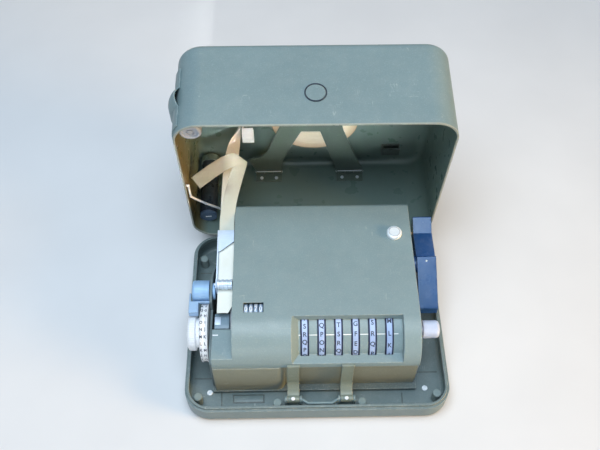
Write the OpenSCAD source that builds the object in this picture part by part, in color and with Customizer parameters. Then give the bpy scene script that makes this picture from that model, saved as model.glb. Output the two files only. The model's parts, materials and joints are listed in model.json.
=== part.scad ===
// Pocket pinwheel cipher machine in its two-part metal case, lid open and inner cover shut.
// Millimetres, +X right, +Y back, +Z up, origin under the middle of the base.

/* [Case] */
// Width of the case
case_w = 178; // [174:1:190]
// Depth of the case, front to back
case_d = 140; // [138:1:150]
// Height of the closed case
case_h = 82.5; // [82:0.5:90]
// Corner radius of the case seen from above
case_corner_r = 17; // [15:0.5:20]
// Sheet thickness of the base
base_wall = 1.2; // [1:0.1:1.4]
// Height of the ledge that the lid stands on
base_h = 15.5; // [14.5:0.5:16]
// Bend radius along the bottom edge of the base
base_edge_r = 4; // [3:0.5:4.5]
// Height of the locating lip above the ledge
lip_h = 2.3; // [1.5:0.1:2.4]
// Thickness of the locating lip
lip_t = 1.5; // [1:0.1:1.8]
// Sheet thickness of the lid
lid_wall = 1.2; // [1:0.1:1.5]
// Bend radius along the top edge of the lid
lid_edge_r = 7; // [5:0.5:8]
// Gap between the lid's rim and the base
rim_gap = 0.3; // [0.2:0.05:0.5]
// Angle that the lid stands open
lid_open = 83.8; // [80:0.2:88]

/* [Case hinge] */
// Distance of the hinge pin behind the rear wall
hinge_out = 0.7; // [0.5:0.1:1.2]
// Height of the hinge pin above the ledge
hinge_up = 1; // [0.8:0.1:1.5]
// Distance of each hinge from the middle
hinge_x = 45; // [35:1:55]
// Length of each hinge
hinge_l = 24; // [18:1:30]
// Radius of the hinge knuckles
knuckle_r = 1.5; // [1.3:0.1:1.8]
// Radius of the hinge pins
hinge_pin_r = 0.7; // [0.6:0.05:0.8]
// Thickness of the hinge leaves
leaf_t = 0.9; // [0.7:0.1:1.1]
// Length of each leaf along the wall
leaf_l = 9; // [7:1:11]

/* [Frame] */
// Thickness of the frame plates
plate_t = 1.6; // [1.2:0.1:2]
// Height of the chassis plate's underside
chassis_z = 3; // [2.5:0.5:4]
// Thickness of the chassis plate
chassis_t = 2; // [1.5:0.5:2.5]
// Depth of the chassis plate behind the origin
chassis_back = 52; // [48:1:56]
// Front face of the chassis plate
chassis_front = -51; // [-52:1:-49]
// Width of the printing bay between the left and middle plates
bay_w = 12; // [11.5:0.5:13]
// Height of the wheel and drum axes
axis_z = 38; // [37:0.5:38.5]
// Running clearance of a shaft in its hole
run = 0.05; // [0.03:0.01:0.08]
// Clearance between pieces that pass each other
pass = 0.4; // [0.3:0.1:0.6]

/* [Inner cover] */
// Height of the cover's top
cover_top = 65; // [64.5:0.5:66]
// Sheet thickness of the cover
cover_t = 1; // [0.8:0.1:1.2]
// Rear edge of the cover
cover_rear = 63; // [60:1:65]
// Bend radius of the cover's rear edge
cover_bend_r = 3; // [2:0.5:4]
// Depth of the cover's rear flange
cover_flange = 8; // [6:1:10]
// Centre of the front curve
cover_arc_y = -27; // [-28:0.5:-26]
// Radius of the front curve
cover_arc_r = 23; // [22:0.5:23.5]
// Height of the cover's front lower edge
cover_low = 39.5; // [39:0.5:41]
// Height of the lower edge of the cover's ends
cover_side_low = 44; // [43:0.5:48]
// Height of the step on the left of the cover
step_top = 50; // [49.5:0.5:52]
// Rear edge of the step
step_rear = -27; // [-28:0.5:-26.5]
// Back edge of the wheel pocket
pocket_y = -26; // [-27:0.5:-25.5]
// Height of the ledge at the front of the pocket
pocket_ledge = 44.5; // [44:0.5:46]
// Room beside the outer wheels in the pocket
pocket_side = 8.6; // [7.5:0.1:9]
// Width of the pocket's flared left end
flare_w = 4.5; // [4:0.1:5]
// Radius of the ribs between the wheels
rib_r = 21.3; // [21:0.1:21.5]
// Distance of the latch knob from the cover's right end
latch_in = 11.7; // [9:0.1:16]
// Position of the latch knob, front to back
latch_y = 36.4; // [32:0.1:42]
// Radius of the latch knob
latch_r = 5.2; // [4.5:0.1:6]

/* [Cover hinge] */
// Distance of the cover's pivot behind the tray's front lip
pivot_in = 6.5; // [6:0.5:7]
// Height of the cover's pivot
pivot_z = 12; // [11.5:0.5:13]
// Distance of the right arm from the cover's right end
arm_in = 46.6; // [44:0.1:48]
// Distance between the two arms
arm_pitch = 35.7; // [34:0.1:38]
// Width of each arm
arm_w = 8; // [6:0.5:8.5]
// Thickness of each arm
arm_t = 1.5; // [1.2:0.1:1.7]
// Radius of the pivot pins
pivot_pin_r = 1.2; // [1:0.1:1.4]
// Radius of the eye at each arm's end
eye_r = 2.4; // [2.2:0.1:2.6]
// Thickness of the lugs beside each arm
lug_t = 1.5; // [1.2:0.1:1.8]

/* [Key wheels] */
// Front to back position of the wheel axis
wheel_y = -23; // [-23.5:0.5:-22.5]
// Distance of the last wheel from the cover's right end
wheel_in = 19.8; // [18:0.1:21]
// Distance from wheel to wheel
wheel_pitch = 10.95; // [10.7:0.05:11.2]
// Radius of the lettered rim
wheel_r = 21.7; // [21.6:0.05:21.9]
// Width of the lettered rim
rim_w = 4.4; // [4:0.1:5]
// Radius of the wheel body that carries the pins
body_r = 19.6; // [19:0.1:19.9]
// Width of the wheel body
body_w = 6.4; // [6:0.1:6.8]
// Radius of the ring of pins
pin_ring_r = 17.8; // [17:0.1:18.2]
// Radius of a pin
key_pin_r = 0.55; // [0.4:0.05:0.7]
// How far a pin stands out of its wheel
key_pin_out = 0.9; // [0.6:0.1:1]
// Outer radius of the hollow wheel shaft
tube_r = 4; // [3.8:0.1:4.5]
// Radius of the reset shaft inside it
reset_shaft_r = 2; // [1.6:0.1:2.2]

/* [Drum] */
// Module of the gears
gear_m = 1; // [0.98:0.01:1.02]
// Width of the gears
gear_w = 3.8; // [3:0.1:4]
// Working radius of the drum at its bars
drum_work_r = 24.5; // [24.3:0.1:24.8]
// Outer radius of the slide bars
bar_r = 23.6; // [23.2:0.1:23.8]
// Radial depth of a bar
bar_deep = 2.4; // [2:0.1:2.8]
// Thickness of a bar along the rim
bar_t = 1.8; // [1.4:0.1:2]
// Outer radius of the lugs on the bars
lug_r = 24.8; // [24.4:0.1:24.9]
// Radius of the drum's end discs
disc_r = 24.2; // [24:0.1:24.4]
// Thickness of the end discs
disc_t = 2; // [1.5:0.1:2.5]
// Radius of the drum shaft and the setting shaft
shaft_r = 3; // [2.8:0.1:3.2]
// Length of the drive handle from its axis to each end
handle_l = 33; // [30:0.5:33]
// Width of the drive handle
handle_w = 13.3; // [12:0.1:14]
// Space between the handle and the right plate
handle_gap = 3.4; // [3:0.1:4]

/* [Setting and printing] */
// Radius of the setting knob
knob_r = 12; // [11:0.1:12.4]
// Thickness of the setting knob's grip
knob_grip = 5.2; // [4.8:0.1:5.4]
// Length of the setting knob's neck
knob_neck = 3.4; // [3:0.1:3.6]
// Radius of the indicator disk
disk_r = 19.5; // [19:0.1:19.6]
// Width of the indicator disk
disk_w = 5.6; // [5:0.1:6]
// Radius of the type wheel
type_r = 10.4; // [9.5:0.1:10.6]
// Width of the type wheel
type_w = 5.4; // [5:0.1:5.6]
// Radius of the mode knob
mode_r = 7.4; // [6.8:0.1:7.5]
// Radius of the mode knob's stem
mode_stem_r = 2; // [1.6:0.1:2.4]
// Length of the mode knob
mode_l = 11.4; // [10:0.1:11.6]
// Front to back position of the mode knob
mode_y = 0; // [0:0.5:2]
// Height of the mode knob
mode_z = 53; // [53:0.5:54]
// Height of the chute's floor at its rear end
chute_rear_z = 59; // [58:0.5:60]
// Height of the chute's floor at its front end
chute_front_z = 54; // [53.5:0.5:55]
// Rear end of the chute
chute_rear = 43; // [40:1:46]
// Front end of the chute
chute_front = -3; // [-4:0.5:-2]
// Radius of the feed roller
feed_r = 3.4; // [3:0.1:3.6]
// Radius of the counter wheels
count_r = 6; // [5.5:0.1:6.5]
// Width of a counter wheel
count_w = 2.9; // [2.5:0.1:3]
// Distance from counter wheel to counter wheel
count_pitch = 3.2; // [3.1:0.05:3.4]
// Front to back position of the counter
count_y = -19.2; // [-19.5:0.1:-18.5]
// Radius of the reset knob
reset_r = 6; // [5:0.1:6.5]
// Length of the reset knob
reset_l = 11; // [9:0.5:12]

/* [Lid fittings] */
// Height of the lock button on the closed lid's front
lock_z = 40.2; // [36:0.1:44]
// Radius of the lock button
lock_r = 6.3; // [5:0.1:6.5]
// Thickness of the reel bracket
reel_t = 1; // [0.8:0.1:1.2]
// Radius of the paper roll
roll_r = 31; // [28:0.5:33]
// Radius of the reel spindle
spindle_r = 4; // [3:0.5:6]
// Sideways position of the reel
reel_x = 2; // [0:0.5:4]
// Front to back position of the reel
reel_y = 4; // [3:0.5:6]
// Distance of the tape guide's far side from the reel
guide_off = 53; // [50:0.5:55]
// Width of the tape guide
guide_w = 8.5; // [7:0.5:10]
// Length of the tape guide
guide_l = 12; // [10:1:16]
// Distance of the box clip from the lid's right side
clip_in = 34; // [30:1:40]
// Width of the box clip
clip_w = 14; // [10:1:16]
// Depth of the box clip
clip_d = 8; // [6:0.5:9]
// Height of the box clip
clip_h = 5; // [4:0.5:6]
// Width of the paper tape
tape_w = 10; // [9:0.1:10.2]
// Thickness of the tape's solid
tape_t = 0.4; // [0.3:0.1:0.5]
// Radius of the oil can
oil_r = 7; // [6:0.1:7.2]
// Radius of the ink can
ink_r = 6.6; // [6:0.1:6.8]
// Height of the oil can's lower end in the closed lid
oil_low = 18.6; // [18.4:0.2:24]
// Height of the ink can's lower end in the closed lid
ink_low = 28; // [24:0.5:34]
// Radius of the retaining wire
wire_r = 0.8; // [0.6:0.1:1]
// Length of the strap loop up the lid's left wall
strap_l = 45; // [40:1:48]
// Width of the strap loop along the left wall
strap_w = 10; // [8:1:14]
// Angle that the strap loop reaches round the front corner
strap_turn = 40; // [30:1:50]
// Height of the strap loop's middle above the lid's rim
strap_up = 27; // [24:0.5:34]
// How far the strap loop bulges
strap_bulge = 3.5; // [3:0.1:4]

/* [Tray fittings] */
// Radius of the rubber bumpers
bumper_r = 2.9; // [2.5:0.1:3.2]
// Height of the bumpers above the tray's floor
bumper_h = 9.8; // [8:0.2:10.4]
// Thickness of the lock bail
bail_t = 1.5; // [1.2:0.1:2]
// Height of the lock bail's strip
bail_h = 3; // [2.5:0.1:3.5]

/* [Hidden] */
$fn = 64;

// Colours
olive = [0.36, 0.40, 0.32];
olive_dark = [0.20, 0.25, 0.19];
nickel = [0.72, 0.78, 0.84];
steel = [0.62, 0.63, 0.65];
ivory = [0.92, 0.91, 0.90];
gloss_black = [0.05, 0.06, 0.08];
paper = [0.92, 0.88, 0.76];
brass = [0.75, 0.62, 0.33];

// Counts that belong to the machine
wheel_pins = [26, 25, 23, 21, 19, 17];
bar_count = 27;
lugs_per_bar = 2;
letters = 26;
setting_teeth = 26;
idle_teeth = 14;

// Case
lip_in = lid_wall + rim_gap;
inner_x = case_w/2 - lip_in - lip_t;
inner_y = case_d/2 - lip_in - lip_t;
pivot_y = -inner_y + pivot_in;
floor_z = base_wall;
lid_low = base_h + rim_gap;
plate_z = case_h - lid_wall;
lid_in_x = case_w/2 - lid_wall;
lid_in_y = case_d/2 - lid_wall;
corner_x = case_w/2 - case_corner_r;
corner_y = case_d/2 - case_corner_r;
hinge_y = case_d/2 + hinge_out;
hinge_z = base_h + hinge_up;
knuckle_clear = knuckle_r + rim_gap;

// Places along X, worked inwards from the case's two sides
handle_x1 = inner_x - 3*pass;
handle_x0 = handle_x1 - handle_w;
right_x1 = handle_x0 - handle_gap;
right_x0 = right_x1 - plate_t;
cover_x1 = right_x0 - pass;
latch_x = cover_x1 - latch_in;
wheel_first_x = cover_x1 - wheel_in - 5*wheel_pitch;
arm_right_x = cover_x1 - arm_in;
arm_left_x = arm_right_x - arm_pitch;
knob_x0 = -inner_x + pass;
knob_x1 = knob_x0 + knob_grip + knob_neck;
disk_x1 = knob_x1 + disk_w;
left_x0 = disk_x1 + 1.5*pass;
left_x1 = left_x0 + plate_t;
middle_x0 = left_x1 + bay_w;
middle_x1 = middle_x0 + plate_t;
cover_x0 = middle_x1 + pass;
step_x0 = left_x1 + pass;
gear_x0 = cover_x0 + cover_t + 1.5*pass;
gear_x1 = gear_x0 + gear_w;
count_x0 = gear_x1 + pass;
count_x1 = count_x0 + plate_t;
bar_x0 = gear_x1 + 2*pass;
disc_x0 = bar_x0 + 1.8;
disc_x1 = cover_x1 - cover_t - 7;
bar_x1 = disc_x1 + disc_t + 1;
type_x0 = middle_x0 - 9.2;
reset_x0 = right_x1 + handle_gap - pass;

// Drum and gear axes lie on one level line
setting_pitch_r = gear_m*setting_teeth/2;
idle_pitch_r = gear_m*idle_teeth/2;
idle_y = wheel_y + setting_pitch_r + idle_pitch_r;
drum_y = idle_y + idle_pitch_r + drum_work_r;
chassis_top = chassis_z + chassis_t;

// Guide arms stand in the gaps between the wheels
guide_y = 0;
guide_z = 15;
guide_r = 2;
guide_hub_r = 3.4;
guide_hub_w = 5;
guide_t = 1.2;
guide_tip = 29;
guide_reach = 2.6;

// Inner cover
cover_arc_z = cover_top - cover_arc_r;
cover_front = cover_arc_y - cover_arc_r;
pocket_x0 = wheel_first_x - pocket_side;
pocket_x1 = wheel_first_x + 5*wheel_pitch + pocket_side;
slot_w = rim_w + 3*pass;
slot_r = wheel_r + 0.5;
count_z = cover_top - cover_t - 2*pass - count_r;
count_span = 4*count_pitch;
window_gap = 0.2;
window_d = 7.2;
latch_stem_r = 1.6;

// Paper path
chute_x1 = cover_x0 - pass;
chute_x0 = chute_x1 - tape_w - pass;
cheek_t = 1;
chute_floor_t = 0.8;
chute_top_len = 9;
chute_room = 3;
chute_slope = (chute_rear_z - chute_front_z)/(chute_rear - chute_front);
feed_y = chute_front + 4.4;
feed_z = chute_front_z + (feed_y - chute_front)*chute_slope + chute_floor_t + tape_t + 0.4 + feed_r;
middle_top = 52;
hammer_y = 8;
hammer_z = 44;

// Reel
roll_gap = 0.3;
roll_z1 = plate_z - roll_gap;
roll_z0 = roll_z1 - tape_w;
reel_z = roll_z0 - roll_gap - reel_t;
reel_pin_y = lid_in_y - 2.3;
reel_pin_z = reel_z + reel_t/2;
reel_knuckle_r = 1.6;
reel_pin_r = 0.8;
reel_hinges = [[-43, -22.7], [20.3, 41]];
guide_x0 = reel_x - guide_off;
guide_x1 = guide_x0 + guide_w;
guide_y0 = reel_y + spindle_r;
guide_y1 = guide_y0 + guide_l;

// Cans stand in the lid's two left corners
function corner_can(r) = (case_corner_r - lid_wall - r - pass)*sqrt(0.5);
oil_x = -corner_x - corner_can(oil_r);
oil_y = -corner_y - corner_can(oil_r);
ink_x = -corner_x - corner_can(ink_r);
ink_y = corner_y + corner_can(ink_r);
can_top = plate_z - 4.3;
cup_t = 0.9;
cup_h = 4;
can_fit = 0.1;
lock_sleeve_t = 0.4;
lock_ring_w = 0.75;

// Outline helpers
function unit(v) = v/norm(v);
function bend_points(a, b, c, r, n) =
    let (u = unit(a - b), v = unit(c - b), half = acos(u*v)/2)
    let (o = b + unit(u + v)*r/sin(half), p = b + u*r/tan(half), q = b + v*r/tan(half))
    let (a0 = atan2(p[1] - o[1], p[0] - o[0]), a1 = atan2(q[1] - o[1], q[0] - o[0]))
    let (sweep = a1 - a0 > 180 ? a1 - a0 - 360 : a1 - a0 < -180 ? a1 - a0 + 360 : a1 - a0)
    [for (k = [0:n]) o + r*[cos(a0 + sweep*k/n), sin(a0 + sweep*k/n)]];
function rounded(pts, r, n = 4) =
    let (m = len(pts))
    [for (i = [0:m - 1]) each bend_points(pts[(i + m - 1)%m], pts[i], pts[(i + 1)%m], r, n)];

module along_x(x0, x1) {
    translate([x0, 0, 0])
        rotate([90, 0, 90])
            linear_extrude(x1 - x0)
                children();
}

module rod_x(x0, x1, y, z, r) {
    translate([x0, y, z])
        rotate([0, 90, 0])
            cylinder(h = x1 - x0, r = r);
}

module box_between(low, high) {
    translate(low)
        cube(high - low);
}

// A profile (distance inwards, height) carried round a rectangle with round corners
module ring_sweep(w, d, r) {
    for (sx = [0, 1], sy = [0, 1])
        mirror([sx, 0, 0])
            mirror([0, sy, 0])
                translate([w/2 - r, d/2 - r, 0])
                    rotate_extrude(angle = 90)
                        translate([r, 0])
                            mirror([1, 0])
                                children();
    for (sx = [0, 1])
        mirror([sx, 0, 0])
            translate([w/2, d/2 - r, 0])
                rotate([90, 0, 0])
                    linear_extrude(d - 2*r)
                        mirror([1, 0])
                            children();
    for (sy = [0, 1])
        mirror([0, sy, 0])
            translate([-w/2 + r, d/2, 0])
                rotate([90, 0, 90])
                    linear_extrude(w - 2*r)
                        mirror([1, 0])
                            children();
}

module round_rect(w, d, r) {
    square([w - 2*r, d], center = true);
    square([w, d - 2*r], center = true);
    for (sx = [-1, 1], sy = [-1, 1])
        translate([sx*(w/2 - r), sy*(d/2 - r)])
            circle(r);
}

// A quarter of a bent sheet, from the wall to the floor
module sheet_bend(r, t) {
    intersection() {
        translate([r, r])
            difference() {
                circle(r);
                circle(r - t);
            }
        square([r, r]);
    }
}

// Places a piece drawn in the closed lid where the open lid holds it
module open_lid() {
    translate([0, hinge_y, hinge_z])
        rotate([-lid_open, 0, 0])
            translate([0, -hinge_y, -hinge_z])
                children();
}

// Hinge knuckles along one station: the outer thirds or the middle third
module outer_thirds(x0, x1, y, z, r, gap = 0) {
    third = (x1 - x0)/3;
    rod_x(x0 - gap, x0 + third - 0.1 + gap, y, z, r);
    rod_x(x1 - third + 0.1 - gap, x1 + gap, y, z, r);
}

module middle_third(x0, x1, y, z, r, gap = 0) {
    third = (x1 - x0)/3;
    rod_x(x0 + third + 0.1 - gap, x1 - third - 0.1 + gap, y, z, r);
}

module hinge_room() {
    for (s = [-1, 1])
        rod_x(s*hinge_x - hinge_l/2 - rim_gap, s*hinge_x + hinge_l/2 + rim_gap, hinge_y, hinge_z,
            knuckle_clear);
}

// Base tray
module tray_profile() {
    sheet_bend(base_edge_r, base_wall);
    translate([0, base_edge_r])
        square([base_wall, base_h - base_edge_r]);
    translate([0, base_h - base_wall])
        square([lip_in + lip_t, base_wall]);
    translate([lip_in, base_h - base_wall])
        square([lip_t, base_wall + lip_h]);
}

module case_base() {
    color(olive)
        difference() {
            union() {
                ring_sweep(case_w, case_d, case_corner_r)
                    tray_profile();
                linear_extrude(base_wall)
                    round_rect(case_w - 2*base_edge_r, case_d - 2*base_edge_r, case_corner_r - base_edge_r);
            }
            hinge_room();
        }
}

module base_hinge_leaves() {
    color(olive_dark)
        for (s = [-1, 1]) {
            x0 = s*hinge_x - hinge_l/2;
            x1 = s*hinge_x + hinge_l/2;
            difference() {
                box_between([x0, case_d/2, base_h - leaf_l], [x1, case_d/2 + leaf_t, hinge_z]);
                middle_third(x0, x1, hinge_y, hinge_z, knuckle_clear, 0.2);
            }
            outer_thirds(x0, x1, hinge_y, hinge_z, knuckle_r);
            rod_x(x0, x1, hinge_y, hinge_z, hinge_pin_r);
        }
}

module base_bumpers() {
    spots = [
        [-inner_x + 5.5, -inner_y + 10], [inner_x - 5, -inner_y + 10],
        [arm_left_x - 10.8, -inner_y + 5], [arm_right_x + 10.5, -inner_y + 5],
        [-inner_x + 4.2, inner_y - 14]
    ];
    color(olive_dark)
        for (p = spots)
            translate([p[0], p[1], floor_z])
                rotate_extrude()
                    difference() {
                        square([bumper_r, bumper_h]);
                        translate([bumper_r - 0.8, bumper_h - 0.8])
                            difference() {
                                square(1);
                                circle(0.8);
                            }
                    }
}

// Frame
module chassis_plate() {
    foot_r = 4;
    color(olive) {
        box_between([left_x0, chassis_front, chassis_z], [right_x1, chassis_back, chassis_top]);
        for (x = [left_x0 + 10, right_x1 - 10], y = [chassis_front + 12, chassis_back - 10])
            translate([x, y, floor_z])
                cylinder(h = chassis_top - floor_z, r = foot_r);
    }
}

// Front plate of the frame: a bulged left end that rounds back to the set-back right part
module front_apron() {
    t = 1.5;
    face_y = chassis_front + 0.5;
    bulge_x = arm_left_x - 10.8;
    bulge_r = wheel_y - wheel_r - pass - face_y;
    top = cover_low - pass;
    color(olive)
        translate([0, 0, chassis_top])
            linear_extrude(top - chassis_top) {
                translate([step_x0, face_y])
                    square([bulge_x - step_x0, t]);
                translate([bulge_x, face_y + bulge_r])
                    intersection() {
                        difference() {
                            circle(bulge_r);
                            circle(bulge_r - t);
                        }
                        translate([0, -bulge_r])
                            square(bulge_r);
                    }
                translate([bulge_x + bulge_r - t, face_y + bulge_r - t])
                    square([right_x0 - bulge_x - bulge_r + t, t]);
            }
}

module left_outline() {
    polygon(rounded([
        [chassis_front + 4, chassis_top], [chassis_front + 4, 40], [wheel_y - 17, 47], [mode_y - 11, 47],
        [mode_y - 10, mode_z + 3], [mode_y - 7, mode_z + 5], [mode_y + 7, mode_z + 5], [mode_y + 16, 51],
        [mode_y + 24, 44], [mode_y + 26, 30], [mode_y + 26, chassis_top]
    ], 0.8));
}

module left_plate() {
    tab_x0 = left_x0 - mode_l - 2.2;
    tab_t = 1;
    tab_h = 2;
    tab_y = mode_y - mode_r - 1.2;
    tab_z = mode_z + 0.2;
    ink = ink_roller_place();
    color(nickel) {
        difference() {
            along_x(left_x0, left_x1)
                left_outline();
            rod_x(left_x0 - 1, left_x1 + 1, wheel_y, axis_z, shaft_r + run);
            rod_x(left_x0 - 1, left_x1 + 1, mode_y, mode_z, mode_stem_r + run);
        }
        // Bent tab in front of the mode knob, with a square end
        box_between([tab_x0, tab_y - tab_t, tab_z], [left_x0, tab_y, tab_z + tab_h]);
        box_between([tab_x0, tab_y - tab_t, tab_z], [tab_x0 + tab_t, tab_y + 6, tab_z + tab_h]);
        box_between([tab_x0, tab_y - 8.4, tab_z - 3.2], [tab_x0 + 6.2, tab_y, tab_z + tab_h]);
        // Stub for the ink roller
        rod_x(left_x1, type_x0 + type_w, ink[0], ink[1], 1.2);
    }
}

module inner_outline() {
    polygon(rounded([
        [wheel_y - 21, chassis_top], [wheel_y - 21, 36], [wheel_y - 13, 46], [wheel_y + 11, middle_top],
        [chute_rear + 1, middle_top], [chute_rear + 1, chassis_top]
    ], 0.8));
}

module middle_plate() {
    color(steel) {
        difference() {
            along_x(middle_x0, middle_x1)
                inner_outline();
            rod_x(middle_x0 - 1, middle_x1 + 1, wheel_y, axis_z, shaft_r + run);
            rod_x(middle_x0 - 1, middle_x1 + 1, drum_y, axis_z, shaft_r + run);
            rod_x(middle_x0 - 1, middle_x1 + 1, guide_y, guide_z, guide_r);
        }
        // Stubs for the intermediate gear and the print arm
        rod_x(middle_x1, gear_x1, idle_y, axis_z, 2);
        rod_x(middle_x0 - 4, middle_x0, hammer_y, hammer_z, 1.5);
    }
}

module right_plate() {
    color(steel)
        difference() {
            along_x(right_x0, right_x1)
                inner_outline();
            rod_x(right_x0 - 1, right_x1 + 1, wheel_y, axis_z, tube_r);
            rod_x(right_x0 - 1, right_x1 + 1, drum_y, axis_z, shaft_r + run);
            rod_x(right_x0 - 1, right_x1 + 1, guide_y, guide_z, guide_r);
        }
}

module wheel_shaft() {
    color(steel)
        difference() {
            rod_x(count_x0, right_x1, wheel_y, axis_z, tube_r);
            rod_x(count_x0 - 1, right_x1 + 1, wheel_y, axis_z, reset_shaft_r + run);
        }
}

module guide_arm_shaft() {
    color(steel)
        rod_x(middle_x0, right_x1, guide_y, guide_z, guide_r);
}

// Paper chute: sloping floor, left cheek, slanted top plate and a rib down to the middle plate
module chute_floor(rise, y0, y1, t) {
    z0 = chute_front_z + (y0 - chute_front)*chute_slope + rise;
    z1 = chute_front_z + (y1 - chute_front)*chute_slope + rise;
    polygon([[y0, z0], [y1, z1], [y1, z1 + t], [y0, z0 + t]]);
}

module paper_chute() {
    cheek_reach = 3.4;
    cheek_front = feed_y - cheek_reach;
    cheek_top = feed_z - chute_front_z + 1.6;
    color(nickel)
        difference() {
            union() {
                along_x(chute_x0, chute_x1)
                    chute_floor(0, chute_front, chute_rear, chute_floor_t);
                along_x(chute_x0 - cheek_t, chute_x0)
                    chute_floor(-1, cheek_front, chute_rear, chute_room + 2);
                along_x(middle_x0, chute_x1)
                    difference() {
                        chute_floor(-12, chute_front, chute_rear, 12 + chute_floor_t);
                        translate([chute_front - 1, middle_top - 30])
                            square([chute_rear - chute_front + 2, 30]);
                    }
                along_x(chute_x0 - cheek_t, chute_x0)
                    translate([cheek_front, chute_front_z])
                        square([2*cheek_reach, cheek_top]);
                difference() {
                    along_x(chute_x0 - cheek_t, chute_x1)
                        chute_floor(chute_room, chute_rear - 2*chute_top_len, chute_rear, chute_floor_t);
                    translate([chute_x0 - cheek_t, chute_rear - 2*chute_top_len, 0])
                        linear_extrude(cover_top + 10)
                            polygon([[-1, -1], [30, -1], [30, 15], [11, chute_top_len], [2, 2], [-1, 2]]);
                }
            }
            rod_x(chute_x0 - 3, chute_x1 + 3, feed_y, feed_z, 0.9 + run);
        }
}

// Counter
module counter_frame() {
    low = count_z - count_r - 3;
    x1 = count_x1 + count_span + window_gap;
    color(steel) {
        difference() {
            along_x(count_x0, count_x1)
                polygon(rounded([
                    [wheel_y - 7, chassis_top], [wheel_y - 7, axis_z + 8],
                    [count_y - 6, cover_top - cover_t - 1],
                    [count_y + 6, cover_top - cover_t - 1], [wheel_y + 11, axis_z + 8],
                    [wheel_y + 11, chassis_top]
                ], 0.8));
            rod_x(count_x0 - 1, count_x1 + 1, wheel_y, axis_z, tube_r);
        }
        along_x(x1, x1 + plate_t)
            translate([count_y - 6, low])
                square([12, count_z + 4 - low]);
        box_between([count_x0, count_y - 6, low - 1.2], [x1 + plate_t, count_y + 6, low]);
        rod_x(count_x0, x1 + plate_t, count_y, count_z, 1);
    }
}

module counter_wheel(i) {
    x0 = count_x1 + window_gap/2 + i*count_pitch;
    groove = 0.3;
    color([0.12, 0.12, 0.12])
        difference() {
            union() {
                rod_x(x0, x0 + count_w, count_y, count_z, count_r - groove);
                rod_x(x0 + groove, x0 + count_w - groove, count_y, count_z, count_r);
            }
            rod_x(x0 - 1, x0 + count_w + 1, count_y, count_z, 1 + run);
        }
}

// Cover hinge on the tray's floor
module cover_hinge_lugs() {
    half = arm_w/2 + rim_gap;
    color(olive)
        for (x = [arm_left_x, arm_right_x]) {
            for (x0 = [x - half - lug_t, x + half])
                along_x(x0, x0 + lug_t) {
                    translate([pivot_y, pivot_z])
                        circle(eye_r);
                    translate([pivot_y - eye_r, floor_z])
                        square([2*eye_r, pivot_z - floor_z]);
                }
            box_between([x - half - lug_t, pivot_y - 4, floor_z],
                [x + half + lug_t, pivot_y + 5, floor_z + 1.2]);
            rod_x(x - half - lug_t, x + half + lug_t, pivot_y, pivot_z, pivot_pin_r);
        }
}

// Strike for the lid's lock: a joggled strip between the two hinges
module lock_bail() {
    x0 = arm_left_x + arm_w/2 + rim_gap + lug_t;
    x1 = arm_right_x - arm_w/2 - rim_gap - lug_t;
    joggle = 3.2;
    run_in = 4;
    color(olive)
        translate([0, 0, pivot_z - bail_h/2])
            linear_extrude(bail_h)
                polygon([
                    [x0, pivot_y], [x0 + run_in, pivot_y - joggle], [x1 - run_in, pivot_y - joggle],
                    [x1, pivot_y],
                    [x1, pivot_y - bail_t], [x1 - run_in, pivot_y - joggle - bail_t],
                    [x0 + run_in, pivot_y - joggle - bail_t], [x0, pivot_y - bail_t]
                ]);
}

// Lid
module lid_profile() {
    translate([0, case_h])
        mirror([0, 1])
            sheet_bend(lid_edge_r, lid_wall);
    translate([0, lid_low])
        square([lid_wall, case_h - lid_edge_r - lid_low]);
}

// Cup on a stud that holds a can's upper end
module can_cup(x, y, r) {
    translate([x, y, can_top - cup_h])
        difference() {
            cylinder(h = cup_h + 1, r = r + can_fit + cup_t);
            translate([0, 0, -1])
                cylinder(h = cup_h + 1.1, r = r + can_fit);
        }
    translate([x, y, can_top + 0.5])
        cylinder(h = plate_z - can_top, r = r/2);
}

module case_lid() {
    color(olive)
        open_lid()
            difference() {
                union() {
                    ring_sweep(case_w, case_d, case_corner_r)
                        lid_profile();
                    translate([0, 0, plate_z])
                        linear_extrude(lid_wall)
                            round_rect(case_w - 2*lid_edge_r, case_d - 2*lid_edge_r,
                                case_corner_r - lid_edge_r);
                    can_cup(oil_x, oil_y, oil_r);
                    can_cup(ink_x, ink_y, ink_r);
                }
                hinge_room();
                translate([0, -case_d/2 - 1, lock_z])
                    rotate([-90, 0, 0])
                        cylinder(h = lid_wall + 2, r = lock_r + run + lock_sleeve_t);
            }
}

module lid_hinge_leaves() {
    color(olive_dark)
        open_lid()
            for (s = [-1, 1]) {
                x0 = s*hinge_x - hinge_l/2;
                x1 = s*hinge_x + hinge_l/2;
                difference() {
                    union() {
                        difference() {
                            box_between([x0, case_d/2, hinge_z], [x1, case_d/2 + leaf_t, hinge_z + leaf_l]);
                            outer_thirds(x0, x1, hinge_y, hinge_z, knuckle_clear, 0.2);
                        }
                        middle_third(x0, x1, hinge_y, hinge_z, knuckle_r);
                    }
                    rod_x(x0 - 1, x1 + 1, hinge_y, hinge_z, hinge_pin_r + run);
                }
            }
}

// Strap loop: a sheet strip round the lid's left front corner that bulges away from the wall
module strap_profile() {
    t = 1;
    half = 7;
    bow_r = (half*half + strap_bulge*strap_bulge)/(2*strap_bulge);
    translate([case_corner_r, 0])
        difference() {
            union() {
                translate([0, -strap_l/2])
                    square([t, strap_l]);
                intersection() {
                    translate([strap_bulge - bow_r, 0])
                        circle(bow_r + t);
                    translate([0, -strap_l/2])
                        square([strap_bulge + 2*t, strap_l]);
                }
            }
            intersection() {
                translate([strap_bulge - bow_r, 0])
                    circle(bow_r);
                translate([-1, -half])
                    square([strap_bulge + 2*t, 2*half]);
            }
        }
}

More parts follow.
